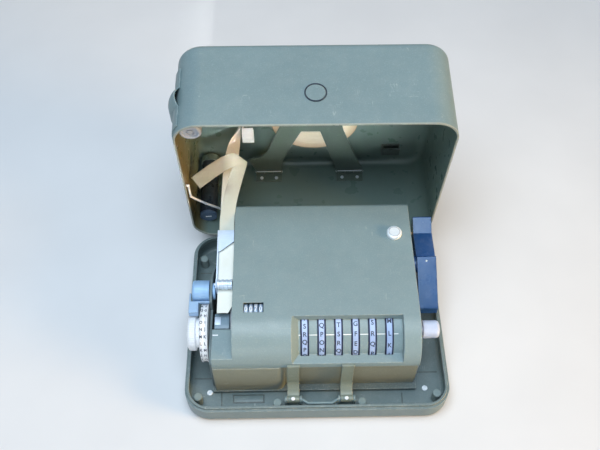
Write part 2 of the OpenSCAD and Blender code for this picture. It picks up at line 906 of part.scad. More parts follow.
module strap_loop() {
    color(olive)
        open_lid()
            translate([-corner_x, -corner_y, lid_low + strap_up]) {
                translate([0, strap_w, 0])
                    rotate([90, 0, 0])
                        linear_extrude(strap_w)
                            mirror([1, 0])
                                strap_profile();
                rotate([0, 0, 180])
                    rotate_extrude(angle = strap_turn)
                        strap_profile();
            }
}

module front_revolve() {
    translate([0, -case_d/2, lock_z])
        rotate([-90, 0, 0])
            rotate_extrude()
                children();
}

module lock_bezel() {
    sleeve = lock_r + run;
    color(gloss_black)
        open_lid()
            front_revolve() {
                translate([sleeve, -0.6])
                    square([lock_ring_w, 0.6]);
                translate([sleeve, -0.6])
                    square([lock_sleeve_t, lid_wall + 2]);
            }
}

// Lock button with its catch plate behind the wall
module lock_button() {
    catch_y = -case_d/2 + 5.5;
    color(olive)
        open_lid() {
            front_revolve()
                polygon([
                    [0, -0.6], [lock_r - 0.4, -0.6], [lock_r, -0.2], [lock_r, 4], [2.5, 4], [2.5, 5.6],
                    [0, 5.6]
                ]);
            box_between([-6, catch_y, lid_low + 4], [6, catch_y + 1.2, lock_z + 6]);
        }
}

// Reel in the lid
module reel_hinge_leaves() {
    color(olive)
        open_lid()
            for (h = reel_hinges) {
                difference() {
                    box_between([h[0], lid_in_y - leaf_t, reel_pin_z - 8], [h[1], lid_in_y, reel_pin_z]);
                    middle_third(h[0], h[1], reel_pin_y, reel_pin_z, reel_knuckle_r + rim_gap, 0.2);
                }
                outer_thirds(h[0], h[1], reel_pin_y, reel_pin_z, reel_knuckle_r);
                rod_x(h[0], h[1], reel_pin_y, reel_pin_z, reel_pin_r);
            }
}

module reel_outline() {
    foot = reel_pin_y - 2;
    left = reel_hinges[0];
    right = reel_hinges[1];
    top = reel_y - 13;
    polygon(rounded([
        [left[0], foot], [left[0] - 5, foot - 16], [left[0] + 5, foot - 20], [left[0] + 10, foot - 28],
        [reel_x - 27, reel_y + 7], [reel_x - 22, top + 5], [reel_x - 10, top], [reel_x + 10, top],
        [reel_x + 18, top + 5], [reel_x + 21, reel_y + 8], [right[1] - 4, foot - 11], [right[1], foot],
        [right[0], foot], [right[0] - 3, foot - 11], [reel_x + 4, reel_y + 8], [reel_x - 10, reel_y + 8],
        [left[1] + 6, foot - 30], [left[1], foot - 11], [left[1], foot]
    ], 1));
}

module reel_bracket() {
    color(olive)
        open_lid()
            difference() {
                union() {
                    translate([0, 0, reel_z])
                        linear_extrude(reel_t)
                            reel_outline();
                    for (h = reel_hinges) {
                        third = (h[1] - h[0])/3;
                        box_between([h[0] + third + 0.1, reel_pin_y - 3, reel_z],
                            [h[1] - third - 0.1, reel_pin_y, reel_z + reel_t]);
                        middle_third(h[0], h[1], reel_pin_y, reel_pin_z, reel_knuckle_r);
                    }
                    translate([reel_x, reel_y, reel_z])
                        cylinder(h = roll_z1 - reel_z - roll_gap, r = spindle_r);
                }
                for (h = reel_hinges)
                    rod_x(h[0] - 1, h[1] + 1, reel_pin_y, reel_pin_z, reel_pin_r + run);
            }
}

module paper_roll() {
    core_r = spindle_r + 3;
    color(paper)
        open_lid()
            translate([reel_x, reel_y, roll_z0])
                difference() {
                    cylinder(h = roll_z1 - roll_z0, r = roll_r);
                    translate([0, 0, -1])
                        cylinder(h = roll_z1 - roll_z0 + 2, r = spindle_r + run);
                    translate([0, 0, -0.5])
                        difference() {
                            cylinder(h = 1, r = core_r + 0.6);
                            cylinder(h = 1, r = core_r);
                        }
                }
}

// Bright guide that turns the tape off the reel
module tape_guide() {
    t = 0.8;
    low = cover_top + 1;
    band = 0.44*guide_l;
    color(nickel)
        open_lid() {
            box_between([guide_x0, guide_y0, low], [guide_x0 + t, guide_y1, plate_z]);
            for (y = [guide_y0, guide_y1 - band])
                box_between([guide_x0, y, low], [guide_x1, y + band, low + t]);
            box_between([guide_x1 - t, guide_y0, low], [guide_x1, guide_y1, low + 3]);
        }
}

module box_clip() {
    x0 = case_w/2 - clip_in;
    y0 = corner_y - clip_d + 1;
    z0 = plate_z - clip_h;
    t = 1;
    color(olive_dark)
        open_lid()
            difference() {
                box_between([x0, y0, z0], [x0 + clip_w, y0 + clip_d, plate_z]);
                box_between([x0 + t, y0 - t, z0 + t], [x0 + clip_w - t, y0 + clip_d - t, plate_z - t]);
            }
}

// Sprung wire from the lid's left wall round the ink can's lower end to its rear wall
module retaining_wire() {
    side_x = -lid_in_x + 1.5;
    low = lid_low + 2.9;
    turn_x = ink_x + ink_r + 5;
    start_y = 2.3;
    route = [
        [-lid_in_x, start_y, low], [side_x, start_y, low], [side_x, 17, low], [side_x + 2.2, 22, low + 1.2],
        [ink_x + 0.7, ink_y - 24.7, low + 4.4], [turn_x - 1, ink_y - ink_r - 1.1, low + 9.4],
        [turn_x, ink_y - 3.2, low + 9.8], [turn_x, lid_in_y, low + 9.8]
    ];
    last = len(route) - 1;
    bend_swell = 0.1;
    color([0.85, 0.87, 0.9])
        open_lid() {
            for (k = [0:last - 1]) {
                run_to = route[k + 1] - route[k];
                translate(route[k])
                    rotate([0, acos(run_to[2]/norm(run_to)), atan2(run_to[1], run_to[0])])
                        cylinder(h = norm(run_to), r = wire_r);
            }
            for (k = [1:last - 1])
                translate(route[k])
                    sphere(wire_r + bend_swell);
        }
}

// Cans: a tube with a lipped end
module can(x, y, low, r) {
    lip = 0.8;
    open_lid()
        translate([x, y, low])
            rotate_extrude()
                polygon([
                    [0, 0.6], [r - 2.4, 0.6], [r - 2, 0], [r - lip, 0], [r, lip], [r, can_top - low - lip],
                    [r - lip, can_top - low], [0, can_top - low]
                ]);
}

module oil_can() {
    color(nickel)
        difference() {
            can(oil_x, oil_y, oil_low, oil_r);
            open_lid()
                translate([oil_x, oil_y, oil_low - 1])
                    difference() {
                        cylinder(h = 2.2, r = 2.6);
                        cylinder(h = 2.2, r = 1.8);
                    }
        }
}

module ink_can() {
    color(gloss_black)
        difference() {
            can(ink_x, ink_y, ink_low, ink_r);
            open_lid()
                box_between([ink_x - 3.5, ink_y - 0.6, ink_low - 1],
                    [ink_x + 3.5, ink_y + 0.6, ink_low + 1.4]);
        }
}

// Inner cover
module cover_solid(inset) {
    low = cover_arc_z - cover_arc_r;
    translate([cover_arc_y, low])
        square([cover_rear - cover_bend_r - cover_arc_y, cover_top - inset - low]);
    translate([cover_arc_y, low])
        square([cover_rear - inset - cover_arc_y, cover_top - cover_bend_r - low]);
    translate([cover_rear - cover_bend_r, cover_top - cover_bend_r])
        circle(cover_bend_r - inset);
    translate([cover_arc_y, cover_arc_z])
        circle(cover_arc_r - inset);
    translate([cover_front + inset, low])
        square([cover_arc_r, cover_arc_z - low]);
}

module yz_region(y0, y1, z0, z1) {
    translate([y0, z0])
        square([y1 - y0, z1 - z0]);
}

module wheel_disc(r) {
    translate([wheel_y, axis_z])
        circle(r);
}

module cover_shell_2d() {
    difference() {
        cover_solid(0);
        cover_solid(cover_t);
        yz_region(cover_front - 1, cover_arc_y, 0, cover_low);
        yz_region(cover_arc_y - 1, cover_rear + 1, 0, cover_top - cover_flange);
    }
}

module cover_end_2d() {
    intersection() {
        cover_solid(0);
        yz_region(cover_front, cover_rear, cover_side_low, cover_top);
    }
}

module step_2d(inset) {
    intersection() {
        cover_solid(inset);
        yz_region(cover_front, step_rear, cover_low - inset, step_top - inset);
    }
}

module pocket_void_2d() {
    difference() {
        intersection() {
            cover_solid(-1);
            yz_region(cover_front - 2, pocket_y, pocket_ledge, cover_top + 2);
        }
        wheel_disc(rib_r);
    }
}

module pocket_end_2d() {
    difference() {
        intersection() {
            cover_solid(0);
            yz_region(cover_front, pocket_y + cover_t, pocket_ledge - cover_t, cover_top);
        }
        wheel_disc(rib_r - cover_t);
    }
}

// Sloping web that closes the pocket's left end
module pocket_flare() {
    depth = cover_arc_r - rib_r + 5;
    grow = depth/flare_w;
    intersection() {
        along_x(pocket_x0, pocket_x0 + flare_w)
            pocket_end_2d();
        translate([pocket_x0 - 1, wheel_y, axis_z])
            rotate([0, 90, 0])
                cylinder(h = flare_w + 2, r1 = rib_r + depth + grow, r2 = rib_r - grow);
    }
}

module pocket_skin_2d() {
    difference() {
        pocket_end_2d();
        pocket_void_2d();
    }
}

module inner_cover() {
    color(olive)
        difference() {
            union() {
                difference() {
                    along_x(cover_x0, cover_x1)
                        cover_shell_2d();
                    along_x(pocket_x0, pocket_x1)
                        pocket_void_2d();
                }
                for (x = [cover_x0, cover_x1 - cover_t])
                    along_x(x, x + cover_t)
                        cover_end_2d();
                for (x = [pocket_x0 - cover_t, pocket_x1])
                    along_x(x, x + cover_t)
                        pocket_end_2d();
                along_x(pocket_x0, pocket_x1)
                    pocket_skin_2d();
                pocket_flare();
                along_x(step_x0, step_x0 + cover_t)
                    step_2d(0);
                along_x(step_x0, cover_x0 + cover_t)
                    difference() {
                        step_2d(0);
                        step_2d(cover_t);
                        yz_region(cover_front, step_rear + 1, 0, cover_low);
                    }
            }
            for (i = [0:5]) {
                x = wheel_first_x + i*wheel_pitch;
                rod_x(x - slot_w/2, x + slot_w/2, wheel_y, axis_z, slot_r);
            }
            box_between([count_x1, count_y - window_d/2, cover_top - 3],
                [count_x1 + count_span + window_gap, count_y + window_d/2, cover_top + 1]);
            translate([latch_x, latch_y, cover_top - 3])
                cylinder(h = 5, r = latch_stem_r + run);
        }
}

// Gooseneck arms from the cover's front down to the pivots
module arm_profile() {
    line_y = cover_front - arm_t;
    neck_r = line_y + arm_t/2 - pivot_y;
    translate([line_y, pivot_z + neck_r])
        square([arm_t, cover_low + 4 - pivot_z - neck_r]);
    translate([pivot_y, pivot_z + neck_r])
        intersection() {
            difference() {
                circle(neck_r + arm_t/2);
                circle(neck_r - arm_t/2);
            }
            translate([0, -2*neck_r])
                square([2*neck_r, 2*neck_r]);
        }
    translate([pivot_y, pivot_z])
        circle(eye_r);
}

module cover_hinge_arms() {
    color(olive)
        for (x = [arm_left_x, arm_right_x])
            difference() {
                along_x(x - arm_w/2, x + arm_w/2)
                    arm_profile();
                rod_x(x - arm_w, x + arm_w, pivot_y, pivot_z, pivot_pin_r + run);
            }
}

module cover_latch_knob() {
    color(ivory)
        translate([latch_x, latch_y, cover_top])
            rotate_extrude()
                polygon([
                    [0, -cover_t - 1], [latch_r - 1.6, -cover_t - 1], [latch_r - 1.6, -cover_t - 0.2],
                    [latch_stem_r, -cover_t - 0.2], [latch_stem_r, 0.2], [latch_r, 0.2], [latch_r, 2],
                    [latch_r - 0.5, 2.8], [latch_r - 1.4, 3.1], [0, 3.1]
                ]);
}

// Key wheels: a lettered rim on a body with one pin for each letter
module key_wheel(i) {
    x = wheel_first_x + i*wheel_pitch;
    n = wheel_pins[i];
    pin_l = body_w + key_pin_out;
    color(steel)
        difference() {
            union() {
                rod_x(x - rim_w/2, x + rim_w/2, wheel_y, axis_z, wheel_r);
                rod_x(x - body_w/2, x + body_w/2, wheel_y, axis_z, body_r);
                for (k = [0:n - 1]) {
                    a = 360*(k + 0.5)/n;
                    side = (2*k + i*k + floor(k/3))%5 < 2 ? -body_w/2 : -body_w/2 - key_pin_out;
                    rod_x(x + side, x + side + pin_l, wheel_y + pin_ring_r*cos(a), axis_z + pin_ring_r*sin(a),
                        key_pin_r);
                }
            }
            rod_x(x - body_w, x + body_w, wheel_y, axis_z, tube_r + run);
            for (s = [-1, 1])
                translate([s*body_w/2, 0, 0])
                    difference() {
                        rod_x(x - 1.2, x + 1.2, wheel_y, axis_z, pin_ring_r - 2.4);
                        rod_x(x - 2, x + 2, wheel_y, axis_z, tube_r + 2.5);
                    }
        }
}

// Guide arms: a plate on a hub, its tip between wheel and drum
module guide_arm(i) {
    x = wheel_first_x + (i + 0.5)*wheel_pitch;
    color(steel)
        difference() {
            union() {
                rod_x(x - guide_hub_w/2, x + guide_hub_w/2, guide_y, guide_z, guide_hub_r);
                along_x(x - guide_t/2, x + guide_t/2)
                    translate([guide_y, guide_z])
                        polygon([
                            [-guide_hub_r + 0.5, 0], [guide_hub_r - 0.5, 0], [guide_reach, guide_tip - 8],
                            [guide_reach, guide_tip], [guide_reach - 3, guide_tip],
                            [guide_reach - 3.4, guide_tip - 8]
                        ]);
            }
            rod_x(x - guide_hub_w, x + guide_hub_w, guide_y, guide_z, guide_r + run);
        }
}

// Drum: two slotted discs on a shaft, with the slide bars through the slots
module bar_section(grow) {
    translate([bar_r - bar_deep - grow, -bar_t/2 - grow])
        square([bar_deep + 2*grow, bar_t + 2*grow]);
}

module drum_ring(x0, x1) {
    translate([0, drum_y, axis_z])
        for (k = [0:bar_count - 1])
            rotate([360*k/bar_count, 0, 0])
                along_x(x0, x1)
                    children();
}

module cage() {
    color(steel)
        difference() {
            union() {
                rod_x(middle_x0, handle_x0, drum_y, axis_z, shaft_r);
                for (x = [disc_x0, disc_x1])
                    rod_x(x, x + disc_t, drum_y, axis_z, disc_r);
                rod_x(disc_x0, disc_x0 + 6, drum_y, axis_z, shaft_r + 4);
                rod_x(disc_x1 - 4, disc_x1, drum_y, axis_z, shaft_r + 4);
            }
            drum_ring(disc_x0 - 1, disc_x0 + disc_t + 1)
                bar_section(run);
            drum_ring(disc_x1 - 1, disc_x1 + disc_t + 1)
                bar_section(run);
        }
}

module slide_bars() {
    lug_l = 2.4;
    color(nickel)
        translate([0, drum_y, axis_z])
            for (k = [0:bar_count - 1])
                rotate([360*k/bar_count, 0, 0]) {
                    along_x(bar_x0, bar_x1)
                        bar_section(0);
                    for (j = [0:lugs_per_bar - 1]) {
                        seat = (k*5 + j*(1 + k%4) + j)%6;
                        x = wheel_first_x + (seat + 0.5)*wheel_pitch;
                        along_x(x - lug_l/2, x + lug_l/2)
                            translate([bar_r - bar_deep, -bar_t/2])
                                square([lug_r - bar_r + bar_deep, bar_t]);
                    }
                }
}

// Drive handle: an S shape, the same when turned half way round
module handle_outline() {
    half = handle_l*[[-1, -0.15], [-0.015, 0.333], [0.045, 0.242], [0.652, 0.227], [1, 0.394]];
    polygon(rounded(concat(half, -half), 0.9));
}

module drive_handle() {
    color(gloss_black)
        difference() {
            union() {
                along_x(handle_x0, handle_x1)
                    translate([drum_y, axis_z])
                        handle_outline();
                rod_x(right_x1 + pass, handle_x0 + shaft_r, drum_y, axis_z, 2*shaft_r);
            }
            rod_x(right_x1 - 1, handle_x0, drum_y, axis_z, shaft_r);
        }
}

// Gears with straight-sided teeth
function gear_tooth(n, k) =
    let (r = gear_m*n/2, a = 360*k/n, root = r - 1.3*gear_m, tip = r + 0.9*gear_m)
    let (w_root = 0.98*gear_m/root*180/PI, w_tip = 0.27*gear_m/tip*180/PI)
    [root*[cos(a - w_root), sin(a - w_root)], tip*[cos(a - w_tip), sin(a - w_tip)],
        tip*[cos(a + w_tip), sin(a + w_tip)], root*[cos(a + w_root), sin(a + w_root)]];

module gear_2d(n, turn) {
    rotate(turn)
        polygon([for (k = [0:n - 1]) each gear_tooth(n, k)]);
}

module setting_shaft() {
    color(steel) {
        rod_x(knob_x0 + 2, gear_x1, wheel_y, axis_z, shaft_r);
        along_x(gear_x0, gear_x1)
            translate([wheel_y, axis_z])
                gear_2d(setting_teeth, 0);
    }
}

module intermediate_gear() {
    color(brass)
        difference() {
            along_x(gear_x0, gear_x1)
                translate([idle_y, axis_z])
                    gear_2d(idle_teeth, 180/idle_teeth);
            rod_x(gear_x0 - 1, gear_x1 + 1, idle_y, axis_z, 2 + run);
        }
}

// Turned pieces on the setting shaft: profiles are (radius, distance from the left end)
module setting_revolve(x0) {
    translate([x0, wheel_y, axis_z])
        rotate([0, 90, 0])
            rotate_extrude()
                children();
}

module setting_knob() {
    l = knob_grip + knob_neck;
    neck_r = knob_r - 2.2;
    color(ivory)
        setting_revolve(knob_x0)
            polygon([
                [0, 0], [knob_r - 1.6, 0], [knob_r - 0.5, 0.6], [knob_r, 1.7], [knob_r, knob_grip],
                [neck_r, knob_grip + 0.4], [neck_r, l], [shaft_r, l], [shaft_r, 2], [0, 2]
            ]);
}

module indicator_disk() {
    rim = 0.5;
    color(ivory)
        setting_revolve(knob_x1)
            polygon([
                [shaft_r, 0], [disk_r - 3, 0], [disk_r - 2.4, 0.6], [disk_r - rim, 0.6], [disk_r, 0.9],
                [disk_r, 1.5], [disk_r - rim, 1.7], [disk_r - rim, disk_w - 1.2], [disk_r, disk_w - 1],
                [disk_r, disk_w - 0.3], [disk_r - rim, disk_w], [shaft_r, disk_w]
            ]);
}

module type_wheel() {
    face_r = type_r - 0.8;
    color(steel)
        difference() {
            union() {
                rod_x(type_x0, type_x0 + type_w, wheel_y, axis_z, face_r);
                for (k = [0:letters - 1])
                    translate([type_x0 + 1, wheel_y, axis_z])
                        rotate([360*k/letters, 0, 0])
                            translate([0, face_r - 1, -0.75])
                                cube([type_w - 2, type_r - face_r + 1, 1.5]);
            }
            rod_x(type_x0 - 1, type_x0 + type_w + 1, wheel_y, axis_z, shaft_r);
        }
}

module encipher_knob() {
    x1 = left_x0 - pass;
    color(nickel) {
        translate([x1 - mode_l, mode_y, mode_z])
            rotate([0, 90, 0])
                rotate_extrude()
                    polygon([
                        [0, 0], [mode_r - 1.4, 0], [mode_r - 0.4, 0.4], [mode_r, 1.4], [mode_r, mode_l],
                        [0, mode_l]
                    ]);
        rod_x(x1 - mode_l/2, left_x1, mode_y, mode_z, mode_stem_r);
    }
}

// Lever that presses the tape on the type wheel
module print_arm() {
    t = 1.6;
    x1 = middle_x0 - 1.6;
    head = [wheel_y + 11, axis_z + 11];
    color(steel)
        difference() {
            union() {
                rod_x(x1 - t, x1, hammer_y, hammer_z, 3);
                along_x(x1 - t, x1)
                    polygon([
                        [hammer_y + 1, hammer_z + 2.5], [hammer_y - 2, hammer_z - 1.5],
                        [head[0] + 3, head[1] - 2],
                        [head[0] - 1, head[1]], [head[0] - 1, head[1] + 1.6], [head[0] + 3, head[1] + 1.6]
                    ]);
                box_between([type_x0 + 0.6, head[0] - 1, head[1]], [x1, head[0] + 2, head[1] + 1.6]);
            }
            rod_x(x1 - t - 1, x1 + 1, hammer_y, hammer_z, 1.5 + run);
        }
}

module feed_roller() {
    x0 = chute_x0 + 0.3;
    x1 = chute_x1 - 0.3;
    ring_w = (x1 - x0)/7;
    color(nickel) {
        rod_x(x0, x1, feed_y, feed_z, feed_r - 0.4);
        for (k = [0:3])
            rod_x(x0 + 2*k*ring_w, x0 + (2*k + 1)*ring_w, feed_y, feed_z, feed_r);
        rod_x(chute_x0 - 2*cheek_t, x1, feed_y, feed_z, 0.9);
    }
}

function ink_roller_place() =
    let (d = type_r + 3.2 + 0.35)
    [wheel_y + d*cos(205), axis_z + d*sin(205)];

module ink_roller() {
    p = ink_roller_place();
    color([0.1, 0.1, 0.12])
        difference() {
            rod_x(type_x0, type_x0 + type_w - 0.4, p[0], p[1], 3.2);
            rod_x(type_x0 - 1, type_x0 + type_w, p[0], p[1], 1.2 + run);
        }
}

module reset_knob() {
    color(ivory) {
        translate([reset_x0, wheel_y, axis_z])
            rotate([0, 90, 0])
                rotate_extrude()
                    polygon(concat(
                        [[0, 0], [reset_r, 0]],
                        [for (a = [0:15:75]) [reset_r - 2.5 + 2.5*cos(a), reset_l - 2.5 + 2.5*sin(a)]],
                        [[reset_r - 2.5, reset_l], [0, reset_l]]
                    ));
        rod_x(count_x0, reset_x0 + reset_r/2, wheel_y, axis_z, reset_shaft_r);
    }
}

// Paper tape: flat strips carried along smooth curves, their width turning from one direction to another
function curve_point(p, t) =
    p[0]*pow(1 - t, 3) + p[1]*3*t*pow(1 - t, 2) + p[2]*3*t*t*(1 - t) + p[3]*pow(t, 3);
function lid_point(p) =
    let (dy = p[1] - hinge_y, dz = p[2] - hinge_z)
    [p[0], hinge_y + dy*cos(lid_open) + dz*sin(lid_open), hinge_z - dy*sin(lid_open) + dz*cos(lid_open)];

module strip(p, from, to, steps) {
    pts = [for (k = [0:steps]) curve_point(p, k/steps)];
    edge = [for (k = [0:steps]) let (w = pow(k/steps, 5)) unit(from*(1 - w) + to*w)*tape_w/2];
    lift = [for (k = [0:steps])
        unit(cross(pts[min(k + 1, steps)] - pts[max(k - 1, 0)], edge[k]))*tape_t/2];
    corners = [for (k = [0:steps]) each [pts[k] - edge[k] - lift[k], pts[k] + edge[k] - lift[k],
        pts[k] + edge[k] + lift[k], pts[k] - edge[k] + lift[k]]];
    sides = [for (k = [0:steps - 1], j = [0:3]) each
        [[4*k + j, 4*k + (j + 1)%4, 4*k + 4 + j], [4*k + (j + 1)%4, 4*k + 4 + (j + 1)%4, 4*k + 4 + j]]];
    last = 4*steps;
    ends = [[0, 2, 1], [0, 3, 2], [last, last + 1, last + 2], [last, last + 2, last + 3]];
    polyhedron(points = corners, faces = concat(sides, ends));
}

module paper_tape() {
    mid_x = (chute_x0 + chute_x1)/2;
    rise = chute_floor_t + tape_t/2 + 0.3;
    tail = [mid_x, chute_front - 14.5, chute_front_z - 0.7 + rise];
    front = [mid_x, chute_front, chute_front_z + rise];
    rear = [mid_x, chute_rear, chute_rear_z + rise];
    roll_mid = (roll_z0 + roll_z1)/2;
    post = [guide_x0 - 1.6, guide_y0 + 1, roll_mid];
    off_roll = [reel_x - 24.9, reel_y - 18.9, roll_mid];
    bend = post + [0, -4.5, 0];
    wide = [1, 0, 0];
    on_edge = lid_point([0, 0, 1]) - lid_point([0, 0, 0]);
    loose_wide = [0.62, -0.62, -0.48];
    second = rear + [0, -2, 0.8];
    fold = second + [9.6, 51, 18.4];
    loose = fold + [-32, -15, -7];
    color(paper) {
        strip([tail, tail + (front - tail)*0.4, front - (front - tail)*0.2, front], wide, wide, 4);
        strip([front, front + (rear - front)/3, front + (rear - front)*2/3, rear], wide, wide, 1);
        strip([rear, rear + [0, 25, -1], lid_point(post + [-9, 14, -18]), lid_point(post)], wide,
            on_edge, 16);
        strip([lid_point(post), lid_point(bend), lid_point(bend + [6, -1, 0]), lid_point(off_roll)],
            on_edge, on_edge, 8);
        strip([second, second + [-1.2, 22, 5], fold + [-4, -14, -8], fold], wide, wide, 10);
        strip([fold + [0.3, 1.2, 1.1], fold + [-9, 0, 1.5], loose + [11, 7, 4.5], loose], loose_wide,
            loose_wide, 8);
    }
}

case_base();
base_hinge_leaves();
base_bumpers();
chassis_plate();
front_apron();
left_plate();
middle_plate();
right_plate();
wheel_shaft();
guide_arm_shaft();
paper_chute();
counter_frame();
cover_hinge_lugs();
lock_bail();
case_lid();
lid_hinge_leaves();
strap_loop();
lock_bezel();
reel_hinge_leaves();
tape_guide();
box_clip();
retaining_wire();
lock_button();
reel_bracket();
paper_roll();
oil_can();
ink_can();
inner_cover();
cover_hinge_arms();
cover_latch_knob();
key_wheel(0);  // key_wheel_1
key_wheel(1);  // key_wheel_2
key_wheel(2);  // key_wheel_3
key_wheel(3);  // key_wheel_4
key_wheel(4);  // key_wheel_5
key_wheel(5);  // key_wheel_6
guide_arm(0);  // guide_arm_1
guide_arm(1);  // guide_arm_2
guide_arm(2);  // guide_arm_3
guide_arm(3);  // guide_arm_4
guide_arm(4);  // guide_arm_5
guide_arm(5);  // guide_arm_6
cage();
slide_bars();
drive_handle();
intermediate_gear();
setting_shaft();
setting_knob();
indicator_disk();
type_wheel();
encipher_knob();
print_arm();
feed_roller();
ink_roller();
counter_wheel(0);  // counter_wheel_1
counter_wheel(1);  // counter_wheel_2
counter_wheel(2);  // counter_wheel_3
counter_wheel(3);  // counter_wheel_4
reset_knob();
paper_tape();
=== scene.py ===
import json
import math

import bmesh
import bpy
from mathutils import Matrix, Vector
from mathutils.bvhtree import BVHTree


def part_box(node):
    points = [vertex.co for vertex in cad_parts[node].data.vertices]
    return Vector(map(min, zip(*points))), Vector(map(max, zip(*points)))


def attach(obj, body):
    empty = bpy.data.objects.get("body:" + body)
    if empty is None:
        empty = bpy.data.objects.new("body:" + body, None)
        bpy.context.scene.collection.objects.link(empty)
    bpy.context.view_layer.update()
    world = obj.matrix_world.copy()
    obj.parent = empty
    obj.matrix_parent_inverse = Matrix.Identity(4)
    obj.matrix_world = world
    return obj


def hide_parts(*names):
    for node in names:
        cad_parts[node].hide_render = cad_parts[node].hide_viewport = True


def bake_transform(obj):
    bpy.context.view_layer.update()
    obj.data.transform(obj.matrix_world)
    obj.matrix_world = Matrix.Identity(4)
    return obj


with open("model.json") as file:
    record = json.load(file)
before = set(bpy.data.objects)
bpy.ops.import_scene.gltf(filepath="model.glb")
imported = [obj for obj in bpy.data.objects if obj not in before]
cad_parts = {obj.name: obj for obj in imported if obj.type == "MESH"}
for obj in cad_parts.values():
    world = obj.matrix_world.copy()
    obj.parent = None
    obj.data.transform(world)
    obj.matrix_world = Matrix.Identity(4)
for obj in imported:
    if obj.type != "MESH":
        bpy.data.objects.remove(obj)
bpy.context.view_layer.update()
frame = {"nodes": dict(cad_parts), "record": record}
scene = bpy.context.scene
nodes = frame["nodes"]
MM = 0.001
ACROSS = Vector((1, 0, 0))
UP = Vector((0, 0, 1))

# The photograph's view: yaw, pitch and roll in degrees, and where the lens stands.
CAMERA_TURN = (1.345, 55.05, 0.354)
CAMERA_AT = Vector((-17.25, -262.55, 505.13)) * MM
LENS_MM = 46.52
SENSOR_MM = 36

# The lid's hinge and how far it stands open, as in the part's source.
LID_HINGE = Vector((0, 70.7, 16.5)) * MM
LID_OPEN = math.radians(-83.8)

# The pinwheels: axis, pitch and rim, and the letter that each one shows at the reading line.
WHEEL_AXIS = Vector((0, -23, 38)) * MM
WHEEL_FIRST_X = -8.45 * MM
WHEEL_PITCH = 10.95 * MM
WHEEL_R = 21.7 * MM
RIB_R = 21.3 * MM
READING_ANGLE = 57
LETTERS = "ABCDEFGHIJKLMNOPQRSTUVWXYZ"
WHEELS = [
    (LETTERS, "R"),
    ("ABCDEFGHIJKLMNOPQRSTUVXYZ", "P"),
    ("ABCDEFGHIJKLMNOPQRSTUVX", "S"),
    (LETTERS[:21], "F"),
    (LETTERS[:19], "R"),
    (LETTERS[:17], "L"),
]


def lid_point(x, y, z):
    """A point of the closed lid, in millimetres, where it is with the lid open."""
    arm = Vector((x, y, z)) * MM - LID_HINGE
    return LID_HINGE + Matrix.Rotation(LID_OPEN, 3, "X") @ arm


def lid_way(x, y, z):
    """A direction on the closed lid, turned with the open lid."""
    return Matrix.Rotation(LID_OPEN, 3, "X") @ Vector((x, y, z))


def set_camera():
    """Stand the camera in front of the open case, looking down into it."""
    yaw, pitch, roll = (math.radians(a) for a in CAMERA_TURN)
    level = Vector((math.cos(yaw), -math.sin(yaw), 0))
    ahead = Vector((math.sin(yaw) * math.cos(pitch), math.cos(yaw) * math.cos(pitch), -math.sin(pitch)))
    upright = level.cross(ahead)
    right = level * math.cos(roll) + upright * math.sin(roll)
    above = upright * math.cos(roll) - level * math.sin(roll)
    lens = bpy.data.cameras.new("case_camera")
    lens.sensor_width = SENSOR_MM
    lens.lens = LENS_MM
    lens.clip_start = 0.01
    camera = bpy.data.objects.new("case_camera", lens)
    turn = Matrix((right, above, -ahead)).transposed().to_4x4()
    camera.matrix_world = Matrix.Translation(CAMERA_AT) @ turn
    scene.collection.objects.link(camera)
    scene.camera = camera


set_camera()


# Shader helpers.


def add(tree, kind, given=None, **settings):
    """Add one shader node. given maps input names to values or to the sockets that feed them."""
    node = tree.nodes.new(kind)
    for key, value in settings.items():
        setattr(node, key, value)
    for key, value in (given or {}).items():
        feed(tree, value, node.inputs[key])
    return node


def feed(tree, value, socket):
    """Link a socket, or write a plain value on it."""
    if isinstance(value, bpy.types.NodeSocket):
        tree.links.new(value, socket)
    else:
        socket.default_value = value


def blend_colours(tree, share, low, high):
    """Mix two colours by a share."""
    node = tree.nodes.new("ShaderNodeMix")
    node.data_type = "RGBA"
    feed(tree, share, node.inputs[0])
    feed(tree, low, node.inputs[6])
    feed(tree, high, node.inputs[7])
    return node.outputs[2]


def remap(tree, value, low, high, to_low=0.0, to_high=1.0):
    """Stretch a value from one range to another, held at the ends."""
    given = {"Value": value, "From Min": low, "From Max": high, "To Min": to_low, "To Max": to_high}
    return add(tree, "ShaderNodeMapRange", given).outputs["Result"]


def sums(tree, how, first, second=0.0):
    """One sum of two values."""
    node = tree.nodes.new("ShaderNodeMath")
    node.operation = how
    feed(tree, first, node.inputs[0])
    feed(tree, second, node.inputs[1])
    return node.outputs[0]


def vectors(tree, how, first, second=None):
    """One step with vectors: a vector for SUBTRACT and MULTIPLY, a number for DOT_PRODUCT and LENGTH."""
    node = add(tree, "ShaderNodeVectorMath", {0: first}, operation=how)
    if second is not None:
        feed(tree, second, node.inputs[1])
    return node.outputs["Value" if how in ("DOT_PRODUCT", "LENGTH") else "Vector"]


def split(tree, vector):
    """A vector's X, Y and Z."""
    return add(tree, "ShaderNodeSeparateXYZ", {"Vector": vector}).outputs


def grain(tree, where, size_mm, detail=2.0, roughness=0.5):
    """Noise whose lumps are about size_mm across."""
    given = {"Vector": where, "Scale": 1 / (size_mm * MM), "Detail": detail, "Roughness": roughness}
    return add(tree, "ShaderNodeTexNoise", given).outputs["Fac"]


def on_piece(tree):
    """Places on the piece itself, so a finish moves with what it is on."""
    return add(tree, "ShaderNodeTexCoord").outputs["Object"]


def shader_group(name, inputs, outputs):
    """A node group with named sockets. inputs maps a name to its kind and first value."""
    group = bpy.data.node_groups.new(name, "ShaderNodeTree")
    for label, (kind, value) in inputs.items():
        group.interface.new_socket(label, in_out="INPUT", socket_type=kind).default_value = value
    for label, kind in outputs.items():
        group.interface.new_socket(label, in_out="OUTPUT", socket_type=kind)
    return group, group.nodes.new("NodeGroupInput").outputs, group.nodes.new("NodeGroupOutput").inputs


